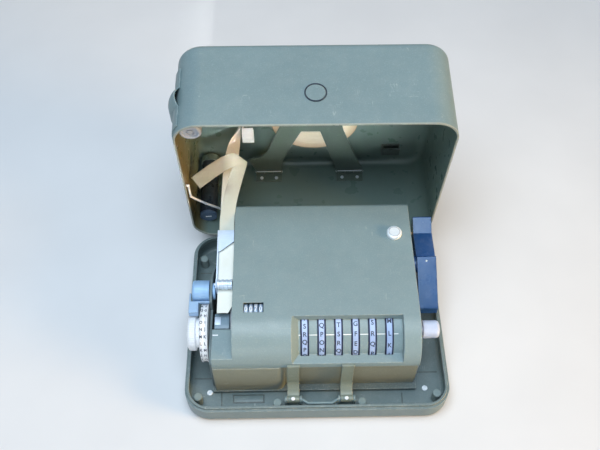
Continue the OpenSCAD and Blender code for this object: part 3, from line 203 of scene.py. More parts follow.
def place(tree, group, given):
    """Put a node group in a material with its own values."""
    node = tree.nodes.new("ShaderNodeGroup")
    node.node_tree = group
    for key, value in given.items():
        feed(tree, value, node.inputs[key])
    return node.outputs


COLOUR = "NodeSocketColor"
VALUE = "NodeSocketFloat"
VECTOR = "NodeSocketVector"
DUST_GREY = (0.4, 0.43, 0.42, 1)


def make_enamel_skin():
    """Stoved enamel: slow cloudiness, fine flecks and an orange-peel skin."""
    inputs = {
        "Paint": (COLOUR, (0.2, 0.2, 0.2, 1)),
        "Shade": (COLOUR, (0.1, 0.1, 0.1, 1)),
        "Fleck": (COLOUR, (0.3, 0.3, 0.3, 1)),
        "Dull": (VALUE, 0.5),
    }
    outputs = {"Color": COLOUR, "Roughness": VALUE, "Height": VALUE}
    group, given, out = shader_group("enamel_skin", inputs, outputs)
    where = on_piece(group)
    cloud = remap(group, grain(group, where, 34, 2), 0.3, 0.7, 0.35, 1)
    colour = blend_colours(group, cloud, given["Shade"], given["Paint"])
    fleck = remap(group, grain(group, where, 0.7, 1), 0.54, 0.74, 0, 0.5)
    colour = blend_colours(group, fleck, colour, given["Fleck"])
    pit = remap(group, grain(group, where, 0.9, 1), 0.4, 0.26, 0, 0.4)
    colour = blend_colours(group, pit, colour, given["Shade"])
    feed(group, colour, out["Color"])
    drift = remap(group, grain(group, where, 9, 2), 0.3, 0.7, -0.07, 0.07)
    feed(group, sums(group, "ADD", given["Dull"], drift), out["Roughness"])
    peel = grain(group, where, 0.8, 1)
    ripple = grain(group, where, 3.2, 1)
    feed(group, sums(group, "ADD", peel, ripple), out["Height"])
    return group


def make_worn_edges():
    """Where corners have been rubbed, and the softened normal of those corners."""
    group, given, out = shader_group(
        "worn_edges", {"Width": (VALUE, 0.0006)}, {"Edge": VALUE, "Normal": VECTOR}
    )
    soft = add(group, "ShaderNodeBevel", {"Radius": given["Width"]}, samples=6).outputs["Normal"]
    sharp = add(group, "ShaderNodeNewGeometry").outputs["Normal"]
    match = vectors(group, "DOT_PRODUCT", soft, sharp)
    rub = remap(group, grain(group, on_piece(group), 4.5, 3, 0.65), 0.36, 0.62)
    feed(group, sums(group, "MULTIPLY", remap(group, match, 0.985, 0.8), rub), out["Edge"])
    feed(group, soft, out["Normal"])
    return group


def make_scuffs():
    """Thin scratches in two directions, broken into short lengths."""
    group, given, out = shader_group("scuffs", {"Amount": (VALUE, 0.4)}, {"Mask": VALUE})
    where = on_piece(group)
    found = None
    for turn, stretch in ((0.5, (5, 420, 240)), (-1.1, (300, 4, 380))):
        given_map = {"Vector": where, "Rotation": (0.3, turn, turn), "Scale": stretch}
        lie = add(group, "ShaderNodeMapping", given_map).outputs["Vector"]
        given_noise = {"Vector": lie, "Scale": 1.0, "Detail": 1.0}
        line = add(group, "ShaderNodeTexNoise", given_noise).outputs["Fac"]
        thin = remap(group, sums(group, "ABSOLUTE", sums(group, "SUBTRACT", line, 0.5)), 0.012, 0.002)
        found = thin if found is None else sums(group, "MAXIMUM", found, thin)
    broken = remap(group, grain(group, where, 9, 3, 0.6), 0.6, 0.7)
    short = sums(group, "MULTIPLY", found, broken)
    feed(group, sums(group, "MULTIPLY", short, given["Amount"]), out["Mask"])
    return group


def make_settled_dust():
    """Dust on the faces that look up when the case stands."""
    group, given, out = shader_group("settled_dust", {"Amount": (VALUE, 0.3)}, {"Mask": VALUE})
    facing = add(group, "ShaderNodeTexCoord").outputs["Normal"]
    up = split(group, facing)["Z"]
    patch = remap(group, grain(group, on_piece(group), 7, 4, 0.65), 0.42, 0.75)
    lying = sums(group, "MULTIPLY", remap(group, up, 0.55, 0.95), patch)
    feed(group, sums(group, "MULTIPLY", lying, given["Amount"]), out["Mask"])
    return group


def make_metal_grain():
    """Brushed plate: streaks along one direction, with cloudy tarnish."""
    inputs = {
        "Metal": (COLOUR, (0.6, 0.6, 0.6, 1)),
        "Tarnish": (COLOUR, (0.4, 0.4, 0.4, 1)),
        "Streak": (VECTOR, (100, 2500, 2500)),
        "Dull": (VALUE, 0.3),
    }
    outputs = {"Color": COLOUR, "Roughness": VALUE, "Height": VALUE}
    group, given, out = shader_group("metal_grain", inputs, outputs)
    where = on_piece(group)
    lie = vectors(group, "MULTIPLY", where, given["Streak"])
    streak = add(group, "ShaderNodeTexNoise", {"Vector": lie, "Scale": 1.0, "Detail": 2.0}).outputs["Fac"]
    cloud = remap(group, grain(group, where, 8, 4, 0.6), 0.45, 0.75, 0, 0.7)
    colour = blend_colours(group, cloud, given["Metal"], given["Tarnish"])
    line = remap(group, streak, 0.35, 0.65, 0, 0.35)
    colour = blend_colours(group, line, colour, given["Tarnish"])
    feed(group, colour, out["Color"])
    drift = remap(group, streak, 0.3, 0.7, -0.06, 0.1)
    feed(group, sums(group, "ADD", given["Dull"], drift), out["Roughness"])
    feed(group, streak, out["Height"])
    return group


def make_paper_fibre():
    """Paper: short fibres and slow yellowing."""
    inputs = {"Paper": (COLOUR, (0.8, 0.8, 0.7, 1)), "Aged": (COLOUR, (0.6, 0.5, 0.4, 1))}
    group, given, out = shader_group("paper_fibre", inputs, {"Color": COLOUR, "Height": VALUE})
    where = on_piece(group)
    lie = add(group, "ShaderNodeMapping", {"Vector": where, "Scale": (2600, 700, 700)}).outputs["Vector"]
    fibre = add(group, "ShaderNodeTexNoise", {"Vector": lie, "Scale": 1.0, "Detail": 3.0}).outputs["Fac"]
    aged = remap(group, grain(group, where, 14, 3), 0.35, 0.7, 0, 0.55)
    colour = blend_colours(group, aged, given["Paper"], given["Aged"])
    colour = blend_colours(group, remap(group, fibre, 0.5, 0.72, 0, 0.3), colour, given["Aged"])
    feed(group, colour, out["Color"])
    feed(group, fibre, out["Height"])
    return group


def make_worn_figures():
    """Filled letters and lines: the fill thins where it has been rubbed."""
    inputs = {"Fill": (COLOUR, (0.1, 0.1, 0.1, 1)), "Rubbed": (COLOUR, (0.4, 0.4, 0.4, 1))}
    group, given, out = shader_group("worn_figures", inputs, {"Color": COLOUR, "Roughness": VALUE})
    where = on_piece(group)
    thin = remap(group, grain(group, where, 0.6, 3, 0.6), 0.5, 0.75, 0, 0.55)
    feed(group, blend_colours(group, thin, given["Fill"], given["Rubbed"]), out["Color"])
    feed(group, remap(group, grain(group, where, 1.3, 2), 0.3, 0.7, 0.38, 0.62), out["Roughness"])
    return group


def make_knurl():
    """Ridges cut round a knob whose axis runs across the machine, left off its end faces."""
    inputs = {"Middle": (VECTOR, (0, 0, 0)), "Ribs": (VALUE, 50.0)}
    group, given, out = shader_group("knurl", inputs, {"Height": VALUE, "Hollow": VALUE})
    from_axis = vectors(group, "SUBTRACT", on_piece(group), given["Middle"])
    part = split(group, from_axis)
    angle = sums(group, "ARCTAN2", part["Z"], part["Y"])
    ridge = sums(group, "SINE", sums(group, "MULTIPLY", angle, given["Ribs"]))
    facing = add(group, "ShaderNodeTexCoord").outputs["Normal"]
    end_on = sums(group, "ABSOLUTE", split(group, facing)["X"])
    side = remap(group, end_on, 0.75, 0.4)
    feed(group, sums(group, "MULTIPLY", ridge, side), out["Height"])
    feed(group, sums(group, "MULTIPLY", remap(group, ridge, 0.2, -0.9, 0, 0.55), side), out["Hollow"])
    return group


enamel_skin = make_enamel_skin()
knurl = make_knurl()
worn_edges = make_worn_edges()
scuffs = make_scuffs()
settled_dust = make_settled_dust()
metal_grain = make_metal_grain()
paper_fibre = make_paper_fibre()
worn_figures = make_worn_figures()


def new_finish(name):
    """A material with its Principled shader ready."""
    finish = bpy.data.materials.new(name)
    finish.use_nodes = True
    return finish, finish.node_tree, finish.node_tree.nodes["Principled BSDF"]


def relief(tree, shader, height, strength, distance, corners=None):
    """Raise the surface by a height, over softened corners where those are given."""
    given = {"Height": height, "Strength": strength, "Distance": distance}
    if corners is not None:
        given["Normal"] = corners
    feed(tree, add(tree, "ShaderNodeBump", given).outputs["Normal"], shader.inputs["Normal"])


def enamel(name, paint, shade, fleck, rubbed, dull=0.42, dust=0.1):
    """A painted finish over sheet steel."""
    finish, tree, shader = new_finish(name)
    skin = place(tree, enamel_skin, {"Paint": paint, "Shade": shade, "Fleck": fleck, "Dull": dull})
    edges = place(tree, worn_edges, {"Width": 0.7 * MM})
    marks = place(tree, scuffs, {"Amount": 0.5})
    film = place(tree, settled_dust, {"Amount": dust})
    colour = blend_colours(tree, marks["Mask"], skin["Color"], rubbed)
    colour = blend_colours(tree, edges["Edge"], colour, rubbed)
    colour = blend_colours(tree, film["Mask"], colour, DUST_GREY)
    feed(tree, colour, shader.inputs["Base Color"])
    feed(tree, skin["Roughness"], shader.inputs["Roughness"])
    relief(tree, shader, skin["Height"], 0.5, 0.06 * MM, edges["Normal"])
    return finish


def lid_paint(name, outside, inside, rubbed, bare, left_wall_warm_light):
    """The lid's outside coat and a darker inside copy that paints the shade inside the lid, each (paint, shade,
    fleck, dull), with painted warm light as a tan pool on its left inner wall and a paler mouth that is part bare
    metal and part painted highlight.
    """
    finish, tree, shader = new_finish(name)
    labels = ("Paint", "Shade", "Fleck", "Dull")
    outer = place(tree, enamel_skin, dict(zip(labels, outside)))
    inner = place(tree, enamel_skin, dict(zip(labels, inside)))
    edges = place(tree, worn_edges, {"Width": 0.7 * MM})
    marks = place(tree, scuffs, {"Amount": 0.5})
    film = place(tree, settled_dust, {"Amount": 0.1})
    arm = vectors(tree, "SUBTRACT", on_piece(tree), LID_HINGE)
    flat_x, flat_y = 72 * MM, 53 * MM
    inner_r, ceiling, skin = 16.3 * MM, 65.3 * MM, 0.2 * MM
    reach = []
    for way, hinge, flat in ((ACROSS, 0.0, flat_x), (lid_way(0, 1, 0), LID_HINGE.y, flat_y)):
        along = vectors(tree, "DOT_PRODUCT", arm, way)
        far = sums(tree, "ABSOLUTE", sums(tree, "ADD", along, hinge))
        reach.append(sums(tree, "MAXIMUM", sums(tree, "SUBTRACT", far, flat)))
    corner = add(tree, "ShaderNodeCombineXYZ", {"X": reach[0], "Y": reach[1]}).outputs["Vector"]
    wall = vectors(tree, "LENGTH", corner)
    depth = vectors(tree, "DOT_PRODUCT", arm, lid_way(0, 0, 1))
    below = remap(tree, depth, ceiling + skin, ceiling)
    within = sums(tree, "MULTIPLY", remap(tree, wall, inner_r + skin, inner_r), below)
    colour = blend_colours(tree, marks["Mask"], outer["Color"], rubbed)
    colour = blend_colours(tree, film["Mask"], colour, DUST_GREY)
    across = split(tree, arm)["X"]
    # Painted warm light: a tan pool on the left inner wall, strongest toward the mouth, for the warm light that
    # falls in from the right.
    left = remap(tree, across, -79 * MM, -86.5 * MM)
    warm_light_share = sums(tree, "MULTIPLY", left, remap(tree, depth, 50 * MM, 8 * MM))
    inside_colour = blend_colours(tree, warm_light_share, inner["Color"], left_wall_warm_light)
    # Painted shade: inside the lid the darker inside coat is used.
    colour = blend_colours(tree, within, colour, inside_colour)
    # The mouth's paler line is partly bare metal rubbed through and partly a painted highlight on the lit rim.
    colour = blend_colours(tree, remap(tree, depth, 0.3 * MM, 0.1 * MM), colour, bare)
    feed(tree, blend_colours(tree, edges["Edge"], colour, rubbed), shader.inputs["Base Color"])
    gap = sums(tree, "SUBTRACT", inner["Roughness"], outer["Roughness"])
    dull = sums(tree, "ADD", outer["Roughness"], sums(tree, "MULTIPLY", within, gap))
    feed(tree, dull, shader.inputs["Roughness"])
    peel = sums(tree, "MULTIPLY", outer["Height"], remap(tree, within, 1, 0))
    relief(tree, shader, peel, 0.5, 0.06 * MM, edges["Normal"])
    return finish


def metal(name, plate, tarnish, streak, dull=0.3, shine=1.0):
    """A bare or plated metal finish."""
    finish, tree, shader = new_finish(name)
    skin = place(tree, metal_grain, {"Metal": plate, "Tarnish": tarnish, "Streak": streak, "Dull": dull})
    edges = place(tree, worn_edges, {"Width": 0.4 * MM})
    marks = place(tree, scuffs, {"Amount": 0.3})
    colour = blend_colours(tree, marks["Mask"], skin["Color"], tarnish)
    colour = blend_colours(tree, edges["Edge"], colour, plate)
    feed(tree, colour, shader.inputs["Base Color"])
    feed(tree, skin["Roughness"], shader.inputs["Roughness"])
    shader.inputs["Metallic"].default_value = shine
    relief(tree, shader, skin["Height"], 0.4, 0.01 * MM, edges["Normal"])
    return finish


def knurled(name, plate, tarnish, middle, ribs, shine):
    """A knob finish with fine ridges cut round an axis that runs across the machine."""
    finish, tree, shader = new_finish(name)
    streak = (2200, 300, 300)
    skin = place(tree, metal_grain, {"Metal": plate, "Tarnish": tarnish, "Streak": streak, "Dull": 0.36})
    edges = place(tree, worn_edges, {"Width": 0.8 * MM})
    cut = place(tree, knurl, {"Middle": middle, "Ribs": ribs})
    colour = blend_colours(tree, cut["Hollow"], skin["Color"], tarnish)
    feed(tree, colour, shader.inputs["Base Color"])
    feed(tree, skin["Roughness"], shader.inputs["Roughness"])
    shader.inputs["Metallic"].default_value = shine
    relief(tree, shader, cut["Height"], 0.7, 0.12 * MM, edges["Normal"])
    return finish


def part_plated(name, plate, tarnish, paint, shade, level):
    """The left frame plate: its bent tab is bare, and the plate from level on is painted."""
    finish, tree, shader = new_finish(name)
    streak = (150, 2600, 2600)
    bare = place(tree, metal_grain, {"Metal": plate, "Tarnish": tarnish, "Streak": streak, "Dull": 0.4})
    coat = place(tree, enamel_skin, {"Paint": paint, "Shade": shade, "Fleck": paint, "Dull": 0.5})
    edges = place(tree, worn_edges, {"Width": 0.5 * MM})
    across = split(tree, on_piece(tree))["X"]
    tab = remap(tree, across, level, level - 0.3 * MM)
    colour = blend_colours(tree, tab, coat["Color"], bare["Color"])
    feed(tree, blend_colours(tree, edges["Edge"], colour, shade), shader.inputs["Base Color"])
    feed(tree, remap(tree, tab, 0, 1, 0.55, 0.42), shader.inputs["Roughness"])
    feed(tree, sums(tree, "MULTIPLY", tab, 0.4), shader.inputs["Metallic"])
    relief(tree, shader, coat["Height"], 0.4, 0.04 * MM, edges["Normal"])
    return finish


def wheel_rim(name, plate, tarnish, side):
    """A pinwheel: a pale brushed rim for the letters, with painted shade as a dark band at each edge of the rim
    and on its side faces, where the cover's slot shades it.
    """
    finish, tree, shader = new_finish(name)
    streak = (2600, 260, 260)
    skin = place(tree, metal_grain, {"Metal": plate, "Tarnish": tarnish, "Streak": streak, "Dull": 0.48})
    facing = add(tree, "ShaderNodeTexCoord").outputs["Normal"]
    end_on = sums(tree, "ABSOLUTE", split(tree, facing)["X"])
    across = split(tree, on_piece(tree))["X"]
    half = WHEEL_PITCH / 2
    from_first = sums(tree, "SUBTRACT", across, WHEEL_FIRST_X - half)
    in_pitch = sums(tree, "FLOORED_MODULO", from_first, WHEEL_PITCH)
    from_middle = sums(tree, "ABSOLUTE", sums(tree, "SUBTRACT", in_pitch, half))
    # Painted shade: a dark band along each edge of the rim and on the side faces, for the shade of the slot the
    # wheel turns in.
    slot_edge_shade = remap(tree, from_middle, 1.55 * MM, 1.8 * MM)
    slot_shade = sums(tree, "MAXIMUM", remap(tree, end_on, 0.3, 0.6), slot_edge_shade)
    feed(tree, blend_colours(tree, slot_shade, skin["Color"], side), shader.inputs["Base Color"])
    feed(tree, skin["Roughness"], shader.inputs["Roughness"])
    shader.inputs["Metallic"].default_value = 0.15
    relief(tree, shader, skin["Height"], 0.3, 0.01 * MM)
    return finish


def stoved_gloss(name, body, sheen, dull, edge=(0.06, 0.07, 0.1, 1)):
    """A stoved gloss with a thin clear skin, dusty in patches and rubbed at its corners."""
    finish, tree, shader = new_finish(name)
    skin = place(tree, enamel_skin, {"Paint": body, "Shade": body, "Fleck": sheen, "Dull": dull})
    edges = place(tree, worn_edges, {"Width": 0.9 * MM})
    marks = place(tree, scuffs, {"Amount": 0.35})
    film = place(tree, settled_dust, {"Amount": 0.12})
    colour = blend_colours(tree, marks["Mask"], skin["Color"], (0.12, 0.14, 0.18, 1))
    colour = blend_colours(tree, edges["Edge"], colour, edge)
    colour = blend_colours(tree, film["Mask"], colour, (0.3, 0.32, 0.36, 1))
    feed(tree, colour, shader.inputs["Base Color"])
    feed(tree, skin["Roughness"], shader.inputs["Roughness"])
    # Painted sky reflection: the specular and coat tints are blue, so every one of these glosses reflects blue.
    shader.inputs["Specular Tint"].default_value = (0.62, 0.8, 1.0, 1)
    shader.inputs["Coat Weight"].default_value = 0.3
    shader.inputs["Coat Roughness"].default_value = 0.12
    shader.inputs["Coat Tint"].default_value = (0.7, 0.85, 1.0, 1)
    relief(tree, shader, skin["Height"], 0.25, 0.04 * MM, edges["Normal"])
    return finish


def figures(name, fill, rubbed):
    """Painted or wax-filled letters and lines."""
    finish, tree, shader = new_finish(name)
    skin = place(tree, worn_figures, {"Fill": fill, "Rubbed": rubbed})
    feed(tree, skin["Color"], shader.inputs["Base Color"])
    feed(tree, skin["Roughness"], shader.inputs["Roughness"])
    return finish


def tape_paper(name, paper, aged):
    """The paper of the tape's free runs."""
    finish, tree, shader = new_finish(name)
    skin = place(tree, paper_fibre, {"Paper": paper, "Aged": aged})
    feed(tree, skin["Color"], shader.inputs["Base Color"])
    shader.inputs["Roughness"].default_value = 0.82
    relief(tree, shader, skin["Height"], 0.3, 0.03 * MM)
    return finish


def turned_tape(name, paper, aged, under):
    """The printed end: darker paper throughout, and darker still on the tail beyond the fold, both painted shade.
    """
    finish, tree, shader = new_finish(name)
    skin = place(tree, paper_fibre, {"Paper": paper, "Aged": aged})
    where = split(tree, on_piece(tree))
    left = remap(tree, where["X"], -56 * MM, -64 * MM)
    # Painted shade: the tail beyond the fold, left of the strand and toward the back, is darkened.
    back = sums(tree, "MULTIPLY", left, remap(tree, where["Y"], 68 * MM, 74 * MM))
    feed(tree, blend_colours(tree, back, skin["Color"], under), shader.inputs["Base Color"])
    shader.inputs["Roughness"].default_value = 0.82
    relief(tree, shader, skin["Height"], 0.3, 0.03 * MM)
    return finish


def wound_paper(name, paper, aged, rim, middle, axis):
    """The roll: paper edges in rings about the spool's axis, with an orange tint at the outer turns that paints
    warm light on them.
    """
    finish, tree, shader = new_finish(name)
    skin = place(tree, paper_fibre, {"Paper": paper, "Aged": aged})
    from_axis = vectors(tree, "SUBTRACT", on_piece(tree), middle)
    along = vectors(tree, "DOT_PRODUCT", from_axis, axis)
    back = add(tree, "ShaderNodeVectorMath", {0: axis, "Scale": along}, operation="SCALE").outputs[0]
    flat = vectors(tree, "SUBTRACT", from_axis, back)
    radius = vectors(tree, "LENGTH", flat)
    turn = add(tree, "ShaderNodeCombineXYZ", {"X": radius}).outputs["Vector"]
    ring = add(tree, "ShaderNodeTexNoise", {"Vector": turn, "Scale": 1900.0, "Detail": 3.0}).outputs["Fac"]
    colour = blend_colours(tree, remap(tree, ring, 0.42, 0.62, 0, 0.6), skin["Color"], aged)
    # Painted warm light: orange toward the outer turns and on the outermost edge.
    colour = blend_colours(tree, remap(tree, radius, 23.5 * MM, 30.5 * MM, 0, 0.5), colour, rim)
    outer = remap(tree, radius, 30.5 * MM, 30.8 * MM, 0, 0.75)
    colour = blend_colours(tree, outer, colour, rim)
    feed(tree, colour, shader.inputs["Base Color"])
    shader.inputs["Roughness"].default_value = 0.85
    relief(tree, shader, ring, 0.6, 0.12 * MM)
    return finish


def felt(name, pile, lint):
    """Soft dull cloth or rubber."""
    finish, tree, shader = new_finish(name)
    skin = place(tree, paper_fibre, {"Paper": pile, "Aged": lint})
    edges = place(tree, worn_edges, {"Width": 0.8 * MM})
    colour = blend_colours(tree, edges["Edge"], skin["Color"], lint)
    feed(tree, colour, shader.inputs["Base Color"])
    shader.inputs["Roughness"].default_value = 0.8
    relief(tree, shader, skin["Height"], 0.5, 0.08 * MM, edges["Normal"])
    return finish


ROLL_MIDDLE = lid_point(2, 4, 76)
ROLL_AXIS = lid_way(0, 0, 1)
KNOB_AXIS = (0, WHEEL_AXIS.y, WHEEL_AXIS.z)
PLATE_PAINT_X = -70.9 * MM

OLIVE_OUT = ((0.176, 0.254, 0.266, 1), (0.155, 0.224, 0.234, 1), (0.24, 0.33, 0.34, 1), 0.42)
# Painted sky light: the cover's olive is a lighter, bluer copy of the case olive, for the sky light on its top
# faces.
OLIVE_COVER_SKY_LIT = ((0.222, 0.308, 0.322, 1), (0.196, 0.272, 0.284, 1), (0.295, 0.39, 0.4, 1), 0.42)
# Painted shade: the lid's inside coat is a darker, greener copy of the olive, for the shade inside the open lid.
OLIVE_IN_SHADED = ((0.165, 0.24, 0.22, 1), (0.154, 0.224, 0.205, 1), (0.18, 0.255, 0.235, 1), 0.32)
OLIVE_RUBBED = (0.48, 0.53, 0.5, 1)

case_enamel = enamel("case_enamel", *OLIVE_OUT[:3], OLIVE_RUBBED, OLIVE_OUT[3])
cover_sky_lit_enamel = enamel("cover_sky_lit_enamel", *OLIVE_COVER_SKY_LIT[:3], OLIVE_RUBBED, OLIVE_COVER_SKY_LIT[3])
# The last two colours: the mouth's paler line, part bare metal and part painted highlight, and the tan painted
# warm light on the left inner wall.
lid_enamel = lid_paint(
    "lid_enamel", OLIVE_OUT, OLIVE_IN_SHADED, OLIVE_RUBBED, (0.3, 0.33, 0.29, 1), (0.17, 0.135, 0.05, 1)
)
# Painted shade: the reel bracket and hinge leaves are a darker copy of the olive, for the shade inside the lid.
bracket_shaded_enamel = enamel(
    "bracket_shaded_enamel", (0.11, 0.155, 0.133, 1), (0.1, 0.141, 0.121, 1), (0.13, 0.178, 0.155, 1),
    (0.26, 0.3, 0.26, 1), 0.36, 0.06
)
# Painted shade: the tray is a darker, bluer copy of the case olive, for the shade on its floor and rim.
tray_shaded_enamel = enamel(
    "tray_shaded_enamel", (0.135, 0.19, 0.195, 1), (0.115, 0.163, 0.167, 1), (0.19, 0.25, 0.255, 1),
    OLIVE_RUBBED, 0.36, 0.12
)
# Painted warm light: the apron's olive is a browner copy of the case olive, for the warm light on the front
# faces.
apron_warm_lit_enamel = enamel(
    "apron_warm_lit_enamel", (0.25, 0.275, 0.225, 1), (0.21, 0.23, 0.18, 1), (0.33, 0.35, 0.28, 1), OLIVE_RUBBED
)
arm_enamel = enamel(
    "arm_enamel", (0.2, 0.245, 0.205, 1), (0.17, 0.208, 0.172, 1), (0.27, 0.32, 0.27, 1), (0.42, 0.45, 0.4, 1)
)
guard_enamel = enamel(
    "guard_enamel", (0.19, 0.28, 0.35, 1), (0.16, 0.24, 0.3, 1), (0.24, 0.34, 0.42, 1), OLIVE_RUBBED, 0.4, 0.06
)
# Painted shade: the chassis ledge is a much darker copy of the olive, so that it matches the shaded tray floor
# around it.
ledge_shaded_enamel = enamel(
    "ledge_shaded_enamel", (0.1, 0.14, 0.142, 1), (0.08, 0.114, 0.116, 1), (0.42, 0.44, 0.36, 1), OLIVE_RUBBED, 0.45, 0.1
)
dark_enamel = enamel(
    "dark_enamel", (0.075, 0.1, 0.095, 1), (0.055, 0.075, 0.07, 1), (0.11, 0.14, 0.13, 1), (0.24, 0.27, 0.26, 1)
)
# Painted sky reflection: the nickel finishes are tinted pale blue for the blue sky they reflect.
nickel = metal("satin_nickel", (0.64, 0.75, 0.88, 1), (0.5, 0.6, 0.72, 1), (150, 2600, 2600), 0.42, 0.45)
mode_nickel = metal("mode_nickel", (0.3, 0.5, 0.76, 1), (0.25, 0.42, 0.64, 1), (150, 2600, 2600), 0.55, 0.2)
# Painted reflection: a near-white finish with little metal in it, for the bright sky reflection on the tape
# guide.
guide_alloy = metal("guide_alloy", (0.95, 0.97, 1.0, 1), (0.82, 0.87, 0.95, 1), (600, 600, 2000), 0.38, 0.15)
# Painted sky reflection: the bare tab's blue tint.
side_plate = part_plated(
    "side_plate", (0.34, 0.5, 0.7, 1), (0.28, 0.41, 0.57, 1), (0.16, 0.21, 0.22, 1),
    (0.12, 0.16, 0.165, 1), PLATE_PAINT_X
)
steel = metal("brushed_steel", (0.5, 0.52, 0.54, 1), (0.3, 0.31, 0.33, 1), (2600, 180, 180), 0.36)
frame_steel = metal("frame_steel", (0.2, 0.22, 0.24, 1), (0.12, 0.13, 0.145, 1), (180, 2600, 2600), 0.5, 0.6)
# Painted reflection: a near-white finish with little metal in it, for the bright reflections on the wire and
# bright heads.
wire_chrome = metal("wire_chrome", (0.95, 0.97, 1.0, 1), (0.86, 0.9, 0.97, 1), (900, 900, 900), 0.3, 0.1)
brass = metal("turned_brass", (0.6, 0.49, 0.26, 1), (0.38, 0.29, 0.14, 1), (2600, 200, 200), 0.34)
# Painted sky reflection: the wheel rims' pale blue.
wheel_plate = wheel_rim("wheel_plate", (0.4, 0.51, 0.74, 1), (0.3, 0.4, 0.6, 1), (0.013, 0.022, 0.075, 1))
can_tin = metal("can_tin", (0.42, 0.45, 0.5, 1), (0.3, 0.32, 0.36, 1), (300, 300, 2400), 0.45, 0.1)
setting_alloy = knurled("setting_alloy", (0.93, 0.95, 0.96, 1), (0.72, 0.75, 0.8, 1), KNOB_AXIS, 60, 0.05)
# Painted sky reflection: the reset knob's blue tint.
reset_alloy = knurled("reset_alloy", (0.6, 0.69, 0.88, 1), (0.47, 0.55, 0.72, 1), KNOB_AXIS, 44, 0.1)
latch_alloy = metal("latch_alloy", (0.82, 0.89, 0.93, 1), (0.68, 0.75, 0.8, 1), (700, 700, 700), 0.36, 0.1)
disk_enamel = enamel(
    "disk_enamel", (0.96, 0.97, 0.98, 1), (0.92, 0.94, 0.96, 1), (0.97, 0.98, 0.98, 1),
    (0.7, 0.73, 0.76, 1), 0.35, 0.03
)
# Painted sky reflection: the black handle's body, flecks and rubbed edges are blue, for the blue sky it reflects.
handle_sky_reflection_gloss = stoved_gloss(
    "handle_sky_reflection_gloss", (0.014, 0.062, 0.19, 1), (0.024, 0.085, 0.24, 1), 0.22, (0.08, 0.15, 0.3, 1)
)
bezel_black = stoved_gloss("bezel_black", (0.012, 0.014, 0.016, 1), (0.02, 0.024, 0.028, 1), 0.4)
can_black = stoved_gloss("can_black", (0.02, 0.028, 0.042, 1), (0.032, 0.042, 0.06, 1), 0.3)
# Painted light: the stopper is a lighter blue-grey than the can, for the light on its upward-facing end.
stopper_lit_grey = stoved_gloss("stopper_lit_grey", (0.1, 0.15, 0.23, 1), (0.13, 0.18, 0.27, 1), 0.36)
# Painted light: the counter wheels, black under any lamp, are a light blue-grey that stands in for the light on
# them in the window.
counter_lit_grey = stoved_gloss("counter_lit_grey", (0.32, 0.44, 0.58, 1), (0.36, 0.48, 0.62, 1), 0.4)
bumper_rubber = felt("bumper_rubber", (0.2, 0.26, 0.255, 1), (0.28, 0.35, 0.34, 1))
ink_felt = felt("ink_felt", (0.02, 0.02, 0.045, 1), (0.05, 0.05, 0.08, 1))
letter_ink = figures("letter_ink", (0.012, 0.018, 0.05, 1), (0.1, 0.13, 0.22, 1))
figure_white = figures("figure_white", (0.9, 0.92, 0.92, 1), (0.7, 0.72, 0.72, 1))
tape_finish = tape_paper("tape_paper", (0.96, 0.96, 0.89, 1), (0.86, 0.85, 0.73, 1))
# Painted shade: the printed end is a darker copy of the tape's paper, with a darker colour for its shaded tail.
printed_finish = turned_tape(
    "turned_tape", (0.68, 0.71, 0.62, 1), (0.6, 0.6, 0.49, 1), (0.32, 0.3, 0.235, 1)
)
roll_finish = wound_paper(
    "wound_paper", (0.98, 0.9, 0.74, 1), (0.9, 0.77, 0.57, 1), (0.6, 0.34, 0.14, 1), ROLL_MIDDLE, ROLL_AXIS
)

SLOT_FINISH = {
    "olive_paint": case_enamel,
    "dark_olive": dark_enamel,
    "nickel_plate": nickel,
    "steel": steel,
    "bright_wire": wire_chrome,
    "ivory_knob": disk_enamel,
    "black_gloss": handle_sky_reflection_gloss,
    "brass": brass,
    "counter_black": counter_lit_grey,
    "bumper_rubber": bumper_rubber,
    "ink_felt": ink_felt,
    "paper": tape_finish,
}
OWN_FINISH = {
    "setting_knob": setting_alloy,
    "reset_knob": reset_alloy,
    "cover_latch_knob": latch_alloy,
    "oil_can": can_tin,
    "ink_can": can_black,
    "lock_bezel": bezel_black,
    "encipher_knob": mode_nickel,
    "tape_guide": guide_alloy,
    "left_plate": side_plate,
    "case_base": tray_shaded_enamel,
    "chassis_plate": ledge_shaded_enamel,
    "inner_cover": cover_sky_lit_enamel,
    "case_lid": lid_enamel,
    "front_apron": apron_warm_lit_enamel,
    "cover_hinge_arms": arm_enamel,
    "reel_bracket": bracket_shaded_enamel,
    "reel_hinge_leaves": bracket_shaded_enamel,
    "middle_plate": frame_steel,
    "counter_frame": frame_steel,
    "type_wheel": frame_steel,
}
OWN_FINISH.update({f"key_wheel_{k + 1}": wheel_plate for k in range(len(WHEELS))})


def finish_parts():
    """Give each part of the machine its finish."""
    slot_of = {row["node"]: row["material_slot"] for row in frame["record"]["subparts"]}
    for name, obj in nodes.items():
        finish = OWN_FINISH.get(name, SLOT_FINISH[slot_of[name]])
        obj.data.materials.clear()
        obj.data.materials.append(finish)


finish_parts()


# Mesh helpers.


def new_piece(name, shape, finish, body, smooth=35):
    """Turn a bmesh into a piece that rides on a body of the machine."""
    mesh = bpy.data.meshes.new(name)
    bmesh.ops.recalc_face_normals(shape, faces=shape.faces)
    shape.to_mesh(mesh)
    shape.free()
    mesh.shade_smooth()
    mesh.set_sharp_from_angle(angle=math.radians(smooth))
    mesh.materials.append(finish)
    obj = bpy.data.objects.new(name, mesh)
    scene.collection.objects.link(obj)
    if body:
        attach(obj, body)
    return obj


def stand_on(point, normal, turn=0.0):
    """A frame at point whose Z runs along normal, turned about it."""
    upright = normal.to_track_quat("Z", "Y").to_matrix().to_4x4()
    return Matrix.Translation(point) @ upright @ Matrix.Rotation(turn, 4, "Z")


